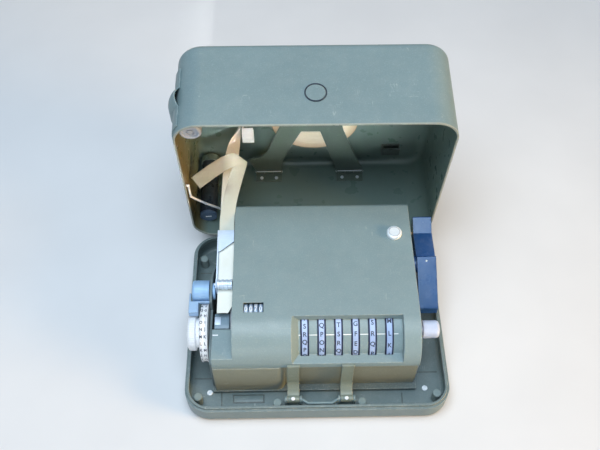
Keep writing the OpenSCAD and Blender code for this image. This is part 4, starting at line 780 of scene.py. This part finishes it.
def surface_at(node, start, toward):
    """Where a straight look from start meets a part, and the face's outward normal."""
    mesh = nodes[node].data
    tree = BVHTree.FromPolygons([v.co for v in mesh.vertices], [p.vertices for p in mesh.polygons])
    point, normal, _, _ = tree.ray_cast(start, toward)
    return point, (normal if normal.dot(toward) < 0 else -normal)


def lathe(shape, profile, frame_at, steps=32):
    """Spin (radius, height) points in millimetres about the frame's Z."""
    rings = []
    for radius, height in profile:
        if radius == 0:
            rings.append([shape.verts.new(frame_at @ Vector((0, 0, height * MM)))])
            continue
        ring = []
        for k in range(steps):
            angle = 2 * math.pi * k / steps
            spot = Vector((radius * math.cos(angle), radius * math.sin(angle), height)) * MM
            ring.append(shape.verts.new(frame_at @ spot))
        rings.append(ring)
    for low, high in zip(rings, rings[1:]):
        for k in range(steps):
            n = (k + 1) % steps
            if len(low) == 1 and len(high) == 1:
                continue
            if len(low) == 1:
                shape.faces.new((low[0], high[n], high[k]))
            elif len(high) == 1:
                shape.faces.new((low[k], low[n], high[0]))
            else:
                shape.faces.new((low[k], low[n], high[n], high[k]))


def skin_rows(shape, rows, closed=False):
    """Faces from each row of points to the next. closed joins the last point of a row to its first."""
    for low, high in zip(rows, rows[1:]):
        for k in range(len(low) if closed else len(low) - 1):
            n = (k + 1) % len(low)
            shape.faces.new((low[k], low[n], high[n], high[k]))


def close_sheet(shape, over, under):
    """Both faces of a thin sheet, each given as rows of points, and the edge all round."""
    skin_rows(shape, over)
    skin_rows(shape, under)
    last_row, last_column = len(over) - 1, len(over[0]) - 1
    for n in range(last_row):
        for k in (0, last_column):
            shape.faces.new((over[n][k], over[n + 1][k], under[n + 1][k], under[n][k]))
    for n in (0, last_row):
        for k in range(last_column):
            shape.faces.new((over[n][k], over[n][k + 1], under[n][k + 1], under[n][k]))


def slotted_head(shape, frame_at, radius, height, slot=0.2):
    """A slotted screw head: a turned foot and two half lands with the driver's slot between them."""
    foot = 0.45 * height
    lathe(shape, [(0, 0), (radius, 0), (radius, foot), (0, foot)], frame_at, 24)
    half = slot * radius
    start = math.asin(half / radius)
    for side in (0, math.pi):
        rim = []
        for k in range(13):
            angle = side + start + (math.pi - 2 * start) * k / 12
            rim.append((math.cos(angle), math.sin(angle)))
        rows = []
        for scale, level in ((1.0, foot), (1.0, 0.82 * height), (0.9, height)):
            spots = [Vector((x * radius * scale, y * radius * scale, level)) * MM for x, y in rim]
            rows.append([shape.verts.new(frame_at @ spot) for spot in spots])
        skin_rows(shape, rows, closed=True)
        shape.faces.new(rows[-1])
        shape.faces.new(rows[0])


def dome_head(shape, frame_at, radius, height):
    """A rivet's round head."""
    profile = [(radius, 0)]
    for k in range(1, 6):
        angle = math.pi / 2 * k / 5
        profile.append((radius * math.cos(angle) if k < 5 else 0, height * math.sin(angle)))
    lathe(shape, profile, frame_at, 24)


BOLD = 0.02


def glyph(letter, size):
    """One letter as flat faces about its own middle: (points, faces), in metres."""
    words = bpy.data.curves.new("glyph", "FONT")
    words.body = letter
    words.size = size
    words.offset = BOLD * size
    words.align_x = "CENTER"
    words.resolution_u = 4
    holder = bpy.data.objects.new("glyph", words)
    scene.collection.objects.link(holder)
    bpy.context.view_layer.update()
    mesh = bpy.data.meshes.new_from_object(holder.evaluated_get(bpy.context.evaluated_depsgraph_get()))
    shape = bmesh.new()
    shape.from_mesh(mesh)
    bpy.data.objects.remove(holder)
    bpy.data.curves.remove(words)
    bpy.data.meshes.remove(mesh)
    rows = [v.co.y for v in shape.verts]
    middle = (min(rows) + max(rows)) / 2
    bmesh.ops.translate(shape, verts=shape.verts, vec=(0, -middle, 0))
    for k in range(-3, 4):
        everything = shape.verts[:] + shape.edges[:] + shape.faces[:]
        bmesh.ops.bisect_plane(shape, geom=everything, plane_co=(0, k * size / 9, 0), plane_no=(0, 1, 0))
    shape.verts.index_update()
    points = [v.co.copy() for v in shape.verts]
    faces = [[v.index for v in f.verts] for f in shape.faces]
    shape.free()
    return points, faces


GLYPHS = {}


def wrap_letter(shape, letter, size, x, angle, radius, axis, widen):
    """Lay a letter on a drum that turns about an axis across the machine, its foot toward the front."""
    if (letter, size) not in GLYPHS:
        GLYPHS[(letter, size)] = glyph(letter, size)
    points, faces = GLYPHS[(letter, size)]
    made = []
    for p in points:
        turn = angle + p.y / radius
        spot = Vector((x + p.x * widen, axis.y - radius * math.cos(turn), axis.z + radius * math.sin(turn)))
        made.append(shape.verts.new(spot))
    for f in faces:
        shape.faces.new([made[k] for k in f])


# The lettered drums and lines.


def letter_wheels():
    """The letters round each pinwheel's rim, rising toward the top."""
    for k, (letters, shown) in enumerate(WHEELS):
        shape = bmesh.new()
        x = WHEEL_FIRST_X + k * WHEEL_PITCH
        for n, letter in enumerate(letters):
            angle = math.radians(READING_ANGLE) + 2 * math.pi * (n - letters.index(shown)) / len(letters)
            wrap_letter(shape, letter, 4.3 * MM, x, angle, WHEEL_R + 0.05 * MM, WHEEL_AXIS, 0.95)
        new_piece(f"wheel_letters_{k + 1}", shape, letter_ink, f"key_wheel_{k + 1}")


def letter_disk():
    """Two rings of letters on the indicator disk, one rising and one falling."""
    shape = bmesh.new()
    shown, shown_angle = LETTERS.index("L"), math.radians(41)
    disk_r = 19.55 * MM
    for x, way in ((-75.6, 1), (-72.9, -1)):
        for n, letter in enumerate(LETTERS):
            angle = shown_angle + 2 * math.pi * way * (n - shown) / len(LETTERS)
            wrap_letter(shape, letter, 2.9 * MM, x * MM, angle, disk_r, WHEEL_AXIS, 0.85)
    new_piece("disk_letters", shape, letter_ink, "setting")


def counter_figures():
    """The plain figures of the letter counter, set to the count that the window shows."""
    axis = Vector((0, -19.2, 57.2)) * MM
    for k, shown in enumerate((0, 0, 7, 0)):
        shape = bmesh.new()
        x = (-47.7 + 3.2 * k + 1.45) * MM
        for digit in range(10):
            angle = math.radians(90) + 2 * math.pi * (digit - shown) / 10
            wrap_letter(shape, str(digit), 5.0 * MM, x, angle, 6.05 * MM, axis, 0.8)
        new_piece(f"counter_figures_{k + 1}", shape, figure_white, f"counter_{k + 1}")


def reading_lines():
    """The white line that is painted across the ribs between the wheel slots."""
    shape = bmesh.new()
    half_slot = 2.8 * MM
    edges = [-12.4 * MM]
    for k in range(len(WHEELS)):
        edges += [WHEEL_FIRST_X + k * WHEEL_PITCH - half_slot, WHEEL_FIRST_X + k * WHEEL_PITCH + half_slot]
    edges.append(52 * MM)
    radius = RIB_R + 0.04 * MM
    for left, right in zip(edges[0::2], edges[1::2]):
        rows = []
        for step in range(-2, 3):
            angle = math.radians(55.8) + step * 0.13 * MM / radius
            y = WHEEL_AXIS.y - radius * math.cos(angle)
            z = WHEEL_AXIS.z + radius * math.sin(angle)
            rows.append([shape.verts.new((x, y, z)) for x in (left, right)])
        skin_rows(shape, rows)
    new_piece("reading_lines", shape, figure_white, "cover")


def raised_bar(shape, corner, far, side, thick, normal):
    """A low bar with chamfered long sides from corner to far, side wide, standing along normal."""
    along = far - corner
    across = along.cross(normal).normalized() * side / 2
    rows = []
    for width, level in ((1.0, -0.02 * MM), (1.0, 0.6 * thick), (0.7, thick)):
        base = normal * level
        inset = along.normalized() * (1 - width) * side / 2
        ends = ((corner + inset, -1), (far - inset, -1), (far - inset, 1), (corner + inset, 1))
        rows.append([shape.verts.new(p + base + across * width * s) for p, s in ends])
    skin_rows(shape, rows, closed=True)
    shape.faces.new(rows[-1])


def index_dash():
    """The white index beside the disk, on the cover's step."""
    shape = bmesh.new()
    start = Vector((-66.6, -31.2, 70)) * MM
    point, normal = surface_at("inner_cover", start, -UP)
    raised_bar(shape, point - ACROSS * 1.8 * MM, point + ACROSS * 1.8 * MM, 0.9 * MM, 0.08 * MM, normal)
    new_piece("index_dash", shape, figure_white, "cover")


# Small fasteners and fittings, in millimetres.

ABOVE_FLOOR = 14
REEL_LEAVES = ((-43, -22.7), (20.3, 41))
REEL_PIN = (66.5, 70.2)


def floor_fittings():
    """The tray floor's slotted screws, joint lines and the low plate at the front left."""
    shape = bmesh.new()
    for x, y, turn in ((-73.5, -50.6, 0.5), (74.6, -49.6, 1.2)):
        point, normal = surface_at("case_base", Vector((x, y, ABOVE_FLOOR)) * MM, -UP)
        slotted_head(shape, stand_on(point, normal, turn), 1.95, 0.9)
    new_piece("floor_screws", shape, latch_alloy, "base")
    lines = bmesh.new()
    runs = (
        ((-65.4, -49.5), (-65.1, -62.0)),
        ((-85.0, -40.0), (-72.4, -40.0)),
        ((70.0, -37.5), (84.6, -37.5)),
        ((58.5, -52.4), (58.2, -62.0)),
        ((-85.2, 45.8), (-72.6, 45.8)),
    )
    for first, last in runs:
        low, normal = surface_at("case_base", Vector((*first, ABOVE_FLOOR)) * MM, -UP)
        high, normal = surface_at("case_base", Vector((*last, ABOVE_FLOOR)) * MM, -UP)
        raised_bar(lines, low, high, 0.7 * MM, 0.25 * MM, normal)
    new_piece("floor_joint_lines", lines, dark_enamel, "base")
    for name, inset, side, thick, finish, slot in (
        ("floor_plate_frame", 0, 6.2, 0.4, dark_enamel, "dark_olive"),
        ("floor_plate", 0.8, 4.6, 0.6, tray_shaded_enamel, "olive_paint"),
    ):
        plate = bmesh.new()
        low, normal = surface_at("case_base", Vector((-57.6 + inset, -55.3, ABOVE_FLOOR)) * MM, -UP)
        high, normal = surface_at("case_base", Vector((-36.0 - inset, -55.3, ABOVE_FLOOR)) * MM, -UP)
        raised_bar(plate, low, high, side * MM, thick * MM, normal)
        new_piece(name, plate, finish, "base")


def bail_bar():
    """The bail between the cover's two hinge lugs: a round-edged bar that steps forward at both ends."""
    low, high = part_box("lock_bail")
    back = high.y - 0.75 * MM
    front = low.y + 1.35 * MM
    step = 4 * MM
    path = [Vector((low.x, back, 0)), Vector((low.x + step, front, 0))]
    path += [Vector((high.x - step, front, 0)), Vector((high.x, back, 0))]
    on_leg, on_bar = 0.22, 0.07
    fine = [path[0]]
    for k, before, after in ((1, on_leg, on_bar), (2, on_bar, on_leg)):
        fine += [path[k].lerp(path[k - 1], before), path[k], path[k].lerp(path[k + 1], after)]
    fine.append(path[3])
    around, middle_z = 16, 12.35 * MM
    shape = bmesh.new()
    rows = []
    for k, spot in enumerate(fine):
        along = (fine[min(len(fine) - 1, k + 1)] - fine[max(0, k - 1)]).normalized()
        side = along.cross(UP).normalized()
        row = []
        for n in range(around):
            angle = 2 * math.pi * n / around
            wide = 1.05 * MM * math.copysign(abs(math.cos(angle)) ** 0.6, math.cos(angle))
            tall = 1.85 * MM * math.copysign(abs(math.sin(angle)) ** 0.6, math.sin(angle))
            row.append(shape.verts.new(spot + side * wide + UP * (middle_z + tall)))
        rows.append(row)
    skin_rows(shape, rows, closed=True)
    shape.faces.new(rows[0])
    shape.faces.new(rows[-1])
    bail = new_piece("bail_bar", shape, case_enamel, "base", 40)
    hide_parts("lock_bail")


def lid_fittings():
    """Screws in the reel hinge's leaves and the heads of its pins."""
    shape = bmesh.new()
    into = lid_way(0, 1, 0)
    for left, right in REEL_LEAVES:
        for x, turn in ((left + 4.4, 0.4), (right - 4.4, 1.3)):
            point, normal = surface_at("reel_hinge_leaves", lid_point(x, 40, 65.2), into)
            slotted_head(shape, stand_on(point, normal, turn), 1.3, 0.7)
        for x, way in ((left, -ACROSS), (right, ACROSS)):
            dome_head(shape, stand_on(lid_point(x, *REEL_PIN), way), 1.0, 0.5)
    new_piece("reel_leaf_screws", shape, latch_alloy, "lid")
    pins = bmesh.new()
    for left, right in REEL_LEAVES:
        axis = lid_point(left + 0.6, *REEL_PIN) + Vector((0, -0.55, 0.83)) * 1.35 * MM
        length = right - left - 1.2
        near_end = [(0, 0), (0.32, 0.1), (0.42, 0.4)]
        far_end = [(0.42, length - 0.4), (0.32, length - 0.1), (0, length)]
        lathe(pins, near_end + far_end, stand_on(axis, ACROSS), 14)
    new_piece("reel_pins", pins, latch_alloy, "lid")


def cover_fittings():
    """Bright slotted heads at the foot of the cover's arms, the latch knob's ring and the pin in the handle."""
    shape = bmesh.new()
    for x in (-16.4, 19.4):
        point, _ = surface_at("cover_hinge_arms", Vector((x, -61.2, 40)) * MM, -UP)
        slotted_head(shape, stand_on(point, UP, math.pi / 2), 1.3, 0.7, 0.25)
    new_piece("arm_screws", shape, wire_chrome, "cover")
    ring = bmesh.new()
    low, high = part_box("cover_latch_knob")
    top = Vector(((low.x + high.x) / 2, (low.y + high.y) / 2, high.z))
    lathe(ring, [(3.5, -0.3), (3.5, 0.02), (3.9, 0.02), (3.9, -0.3)], stand_on(top, UP), 40)
    new_piece("latch_ring", ring, can_tin, "latch")
    pin = bmesh.new()
    point, normal = surface_at("drive_handle", Vector((78.0, 25.2, 80)) * MM, -UP)
    dome_head(pin, stand_on(point, normal), 0.65, 0.3)
    new_piece("handle_pin", pin, figure_white, "drive")


def can_fittings():
    """The bright ring on the oil can's end and the slotted stopper of the ink can."""
    ring = bmesh.new()
    axis = lid_way(0, -1, 0)
    low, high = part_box("oil_can")
    below = lid_point(0, -90, 47)
    below.x = (low.x + high.x) / 2
    point, _ = surface_at("oil_can", below, -axis)
    at = stand_on(point, axis)
    lathe(ring, [(2.0, -0.05), (2.0, 0.4), (2.5, 0.75), (3.0, 0.4), (3.0, -0.05)], at, 32)
    lathe(ring, [(0.9, -0.05), (0.8, 0.2), (0, 0.25)], at, 20)
    new_piece("oil_can_ring", ring, disk_enamel, "oil_can")
    cap = bmesh.new()
    down = lid_way(0, 0, -1)
    at = stand_on(lid_point(-78.2, 59.2, 28.4), down, 0.12)
    profile = [(0, 0), (6.5, 0), (6.5, 1.9), (6.2, 2.3), (5.6, 2.4), (5.2, 2.0), (0, 2.0)]
    lathe(cap, profile, at, 40)
    new_piece("ink_can_stopper", cap, stopper_lit_grey, "ink_can")
    slot = bmesh.new()
    across = at.to_3x3() @ ACROSS
    middle = at @ Vector((0, 0, 2.0 * MM))
    raised_bar(slot, middle - across * 2.2 * MM, middle + across * 2.2 * MM, 0.9 * MM, 0.3 * MM, down)
    new_piece("ink_can_key", slot, latch_alloy, "ink_can")


def guide_bars():
    """The lip above the tape guide's first band and the bar between its two bands."""
    close = Matrix.Rotation(-LID_OPEN, 3, "X")
    spots = [LID_HINGE + close @ (v.co - LID_HINGE) for v in nodes["tape_guide"].data.vertices]
    left, right = min(p.x for p in spots), max(p.x for p in spots)
    top, foot = min(p.y for p in spots), max(p.y for p in spots)
    face = min(p.z for p in spots)
    shape = bmesh.new()
    middle = (left + right) / 2 / MM
    lip, between = top / MM, (top + foot) / 2 / MM
    for first, last in ((lip - 5.6, lip + 0.4), (between - 1.2, between + 1.2)):
        ends = [lid_point(middle, y, face / MM + 0.45) for y in (first, last)]
        raised_bar(shape, *ends, right - left - 0.4 * MM, 0.5 * MM, lid_way(0, 0, -1))
    new_piece("guide_bars", shape, guide_alloy, "lid")


def type_guard():
    """The bent guard over the type wheel, between the tape's end and the cover's step."""
    bend = [(-26.2, 48.8), (-26.1, 49.2), (-25.2, 49.55), (-23, 49.75), (-20, 49.6), (-17, 49.1), (-14.4, 48.0)]
    sides = [(-67.6, -2.2), (-67.6, -0.5), (-67.1, 0), (-58.1, 0), (-57.6, -0.5), (-57.6, -2.2)]
    shape = bmesh.new()
    middle_x = -62
    skins = []
    for thick in (0.0, 0.4):
        rows = []
        for y, z in bend:
            row = []
            for x, drop in sides:
                inward = thick if x < middle_x else -thick
                spot = Vector((x + (inward if drop < 0 else 0), y, z + drop - thick))
                row.append(shape.verts.new(spot * MM))
            rows.append(row)
        skins.append(rows)
    close_sheet(shape, *skins)
    new_piece("type_guard", shape, guard_enamel, "base", 40)
    tab = bmesh.new()
    raised_bar(tab, Vector((-65.4, -23.6, 49.72)) * MM, Vector((-65.4, -17.6, 49.3)) * MM, 4 * MM, 0.6 * MM, UP)
    new_piece("guard_tab", tab, nickel, "base")


def mode_collar():
    """The turned collar behind the mode knob, next to the chute."""
    shape = bmesh.new()
    at = stand_on(Vector((-69.1, 0, 53)) * MM, ACROSS)
    profile = [(2.05, 0), (5.2, 0), (5.5, 0.3), (5.5, 1.5), (5.2, 1.8), (2.05, 1.8), (2.05, 0)]
    lathe(shape, profile, at, 40)
    new_piece("mode_collar", shape, mode_nickel, "mode")


letter_wheels()
letter_disk()
counter_figures()
reading_lines()
index_dash()
floor_fittings()
lid_fittings()
bail_bar()
cover_fittings()


# Paper.


def curve_points(ends, steps):
    """Points along a cubic curve that four control points shape."""
    a, b, c, d = ends
    made = []
    for k in range(steps + 1):
        t = k / steps
        u = 1 - t
        made.append(a * u**3 + b * 3 * u * u * t + c * 3 * u * t * t + d * t**3)
    return made


TAPE_W = 10 * MM
TAPE_T = 0.14 * MM
TAPE_CURL = 0.18 * MM


def ribbon(shape, rows, columns=4):
    """A thin strip from rows of (left edge, right edge), with a faint curl, closed all round."""
    grid = []
    for left, right in rows:
        grid.append([left.lerp(right, k / columns) for k in range(columns + 1)])
    layers = ([], [])
    for n, row in enumerate(grid):
        before = grid[max(0, n - 1)]
        after = grid[min(len(grid) - 1, n + 1)]
        for layer in layers:
            layer.append([])
        for k, spot in enumerate(row):
            along = after[k] - before[k]
            across = row[min(columns, k + 1)] - row[max(0, k - 1)]
            normal = along.cross(across).normalized()
            share = 2 * k / columns - 1
            lift = TAPE_CURL * (share * share - 0.5)
            for layer, side in zip(layers, (0.5, -0.5)):
                layer[-1].append(shape.verts.new(spot + normal * (side * TAPE_T + lift)))
    close_sheet(shape, *layers)


def strip_rows(points, way, last_way=None):
    """Edge pairs along points, the width turning from way to last_way."""
    rows = []
    for k, spot in enumerate(points):
        turn = (k / (len(points) - 1)) ** 5
        wide = way if last_way is None else way.lerp(last_way, turn)
        half = wide.normalized() * TAPE_W / 2
        rows.append((spot - half, spot + half))
    return rows


def tape_runs():
    """The tape from the roll round the guide to the printing place, and the printed end that folds over."""
    tail = Vector((-60.8, -17.5, 54.6)) * MM
    front = Vector((-60.8, -3, 55.3)) * MM
    rear = Vector((-60.8, 43, 60.3)) * MM
    on_edge = lid_way(0, 0, 1)
    post = (-52.6, 9, 76)
    turn = (-52.6, 4.5, 76)
    rows = strip_rows([tail.lerp(front, k / 8) for k in range(8)], ACROSS)
    for k in range(3):
        left, right = rows[k]
        rows[k] = (left, right - ACROSS * (2.6 - 0.9 * k) * MM)
    rows += strip_rows([front.lerp(rear, k / 14) for k in range(14)], ACROSS)
    climb = curve_points(
        (rear, rear + Vector((0, 25, -1)) * MM, lid_point(-61.6, 23, 58), lid_point(*post)), 36
    )
    rows += strip_rows(climb, ACROSS, on_edge)
    ends = (lid_point(*post), lid_point(*turn), lid_point(-45.6, 3.5, 76), lid_point(-22.9, -14.9, 76))
    rows += strip_rows(curve_points(ends, 20), on_edge)[1:]
    shape = bmesh.new()
    ribbon(shape, rows)
    run = new_piece("tape_run", shape, tape_finish, None, 60)
    second = Vector((-60.8, 41, 61.1)) * MM
    fold = Vector((-51.2, 92, 79.5)) * MM
    loose = Vector((-83.2, 77, 72.5)) * MM
    rise = (second, second + Vector((-1.2, 22, 5)) * MM, fold + Vector((-4, -14, -8)) * MM, fold)
    printed = strip_rows(curve_points(rise, 28), ACROSS)[:-2]
    printed.append((fold + Vector((-3.6, 3.6, 2.8)) * MM, fold + Vector((4.4, -1.4, -0.8)) * MM))
    slant = Vector((0.62, -0.62, -0.48))
    start = fold + Vector((0.3, 1.2, 1.1)) * MM
    drop = (start, fold + Vector((-9, 0, 1.5)) * MM, loose + Vector((11, 7, 4.5)) * MM, loose)
    printed += strip_rows(curve_points(drop, 20), slant)[2:]
    shape = bmesh.new()
    ribbon(shape, printed)
    end = new_piece("tape_printed_end", shape, printed_finish, None, 60)
    for piece, piece_rows in ((run, rows), (end, printed)):
        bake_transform(piece)
        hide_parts("paper_tape")


def wound_roll():
    """The spare tape: many turns whose edges stand a little in and out, on a pale core."""
    shape = bmesh.new()
    at = stand_on(lid_point(2, 4, 71.0), lid_way(0, 0, 1))
    width = 10.0
    core_r, outer_r, turns = 7.4, 31, 36
    face = [(4.3, 0.5), (4.3, 0.0), (6.9, 0.0), (6.9, 0.35), (core_r, 0.35)]
    for k in range(turns):
        inner = core_r + (outer_r - core_r) * k / turns
        outer = core_r + (outer_r - core_r) * (k + 1) / turns
        step = 0.09 + 0.09 * math.sin(12.9898 * (k + 1) * (k + 3))
        face += [(inner + 0.04, step), (outer, step)]
    far = [(radius, width - height) for radius, height in reversed(face)]
    lathe(shape, face + far + [face[0]], at, 96)
    roll = new_piece("wound_roll", shape, roll_finish, "roll", 30)
    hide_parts("paper_roll")


tape_runs()
wound_roll()
can_fittings()
guide_bars()
type_guard()
mode_collar()


# Floor and light.


PALE = (0.86, 0.93, 1.0, 1)
PALE_LEVEL = 0.8
FLOOR_HALF = 4
FLOOR_Z = -0.2 * MM


def pale_room():
    """An even room: a low light all round, seen as a pale wall."""
    room = bpy.data.worlds.new("pale_room")
    room.use_nodes = True
    tree = room.node_tree
    tree.nodes.clear()
    path = add(tree, "ShaderNodeLightPath").outputs
    mirrored = sums(tree, "MAXIMUM", path["Is Glossy Ray"], path["Is Transmission Ray"])
    seen = sums(tree, "MAXIMUM", path["Is Camera Ray"], mirrored)
    light = add(tree, "ShaderNodeBackground", {"Color": (0.9, 1.0, 1.08, 1), "Strength": 0.12})
    pale = add(tree, "ShaderNodeBackground", {"Color": PALE, "Strength": PALE_LEVEL})
    both = add(tree, "ShaderNodeMixShader", {0: seen, 1: light.outputs[0], 2: pale.outputs[0]})
    add(tree, "ShaderNodeOutputWorld", {"Surface": both.outputs[0]})
    scene.world = room


def soft_lamps():
    """A broad soft light above, a card in front, a small one for the lid and a warm low fill."""
    lamps = (
        ("sky_panel", (-0.1, -0.17, 1.25), (0, 0.03, 0.05), (0.9, 0.9), 15.2, (0.87, 1.0, 1.14), 180),
        ("front_card", (-0.1, -1.3, 0.26), (0, 0.1, 0.11), (0.55, 0.55), 3.3, (0.97, 1.0, 1.02), 180),
        ("lid_card", (-0.02, -0.6, 0.35), (-0.02, 0.126, 0.078), (0.16, 0.03), 0.019, (1.0, 0.99, 0.99), 5),
        ("warm_fill", (1.2, -0.42, 0.4), (0, 0, 0.05), (0.5, 0.5), 2.1, (1.0, 0.62, 0.24), 60),
    )
    for name, spot, aim, size, power, tint, spread in lamps:
        lamp = bpy.data.lights.new(name, "AREA")
        lamp.shape = "RECTANGLE"
        lamp.size, lamp.size_y = size
        lamp.energy = power
        lamp.color = tint
        lamp.spread = math.radians(spread)
        holder = bpy.data.objects.new(name, lamp)
        holder.location = spot
        holder.rotation_euler = (Vector(aim) - Vector(spot)).to_track_quat("-Z", "Y").to_euler()
        scene.collection.objects.link(holder)


def pale_floor():
    """A plain floor that fades into the room far from the machine."""
    shape = bmesh.new()
    corners = [(x * FLOOR_HALF, y * FLOOR_HALF, FLOOR_Z) for x, y in ((-1, -1), (1, -1), (1, 1), (-1, 1))]
    shape.faces.new([shape.verts.new(corner) for corner in corners])
    mesh = bpy.data.meshes.new("pale_floor")
    shape.to_mesh(mesh)
    shape.free()
    floor = bpy.data.objects.new("pale_floor", mesh)
    finish, tree, shader = new_finish("pale_floor")
    soft = remap(tree, grain(tree, on_piece(tree), 90, 3), 0.3, 0.7)
    colour = blend_colours(tree, soft, (0.72, 0.73, 0.74, 1), (0.76, 0.77, 0.78, 1))
    feed(tree, colour, shader.inputs["Base Color"])
    shader.inputs["Roughness"].default_value = 0.9
    away = vectors(tree, "LENGTH", on_piece(tree))
    looked_at = add(tree, "ShaderNodeLightPath").outputs["Is Camera Ray"]
    fade = sums(tree, "MULTIPLY", remap(tree, away, 0.6, 1.8), looked_at)
    haze = add(tree, "ShaderNodeEmission", {"Color": PALE, "Strength": PALE_LEVEL})
    both = add(tree, "ShaderNodeMixShader", {0: fade, 1: shader.outputs[0], 2: haze.outputs[0]})
    feed(tree, both.outputs[0], tree.nodes["Material Output"].inputs["Surface"])
    mesh.materials.append(finish)
    scene.collection.objects.link(floor)


pale_room()
soft_lamps()
pale_floor()
scene.view_settings.view_transform = "Standard"
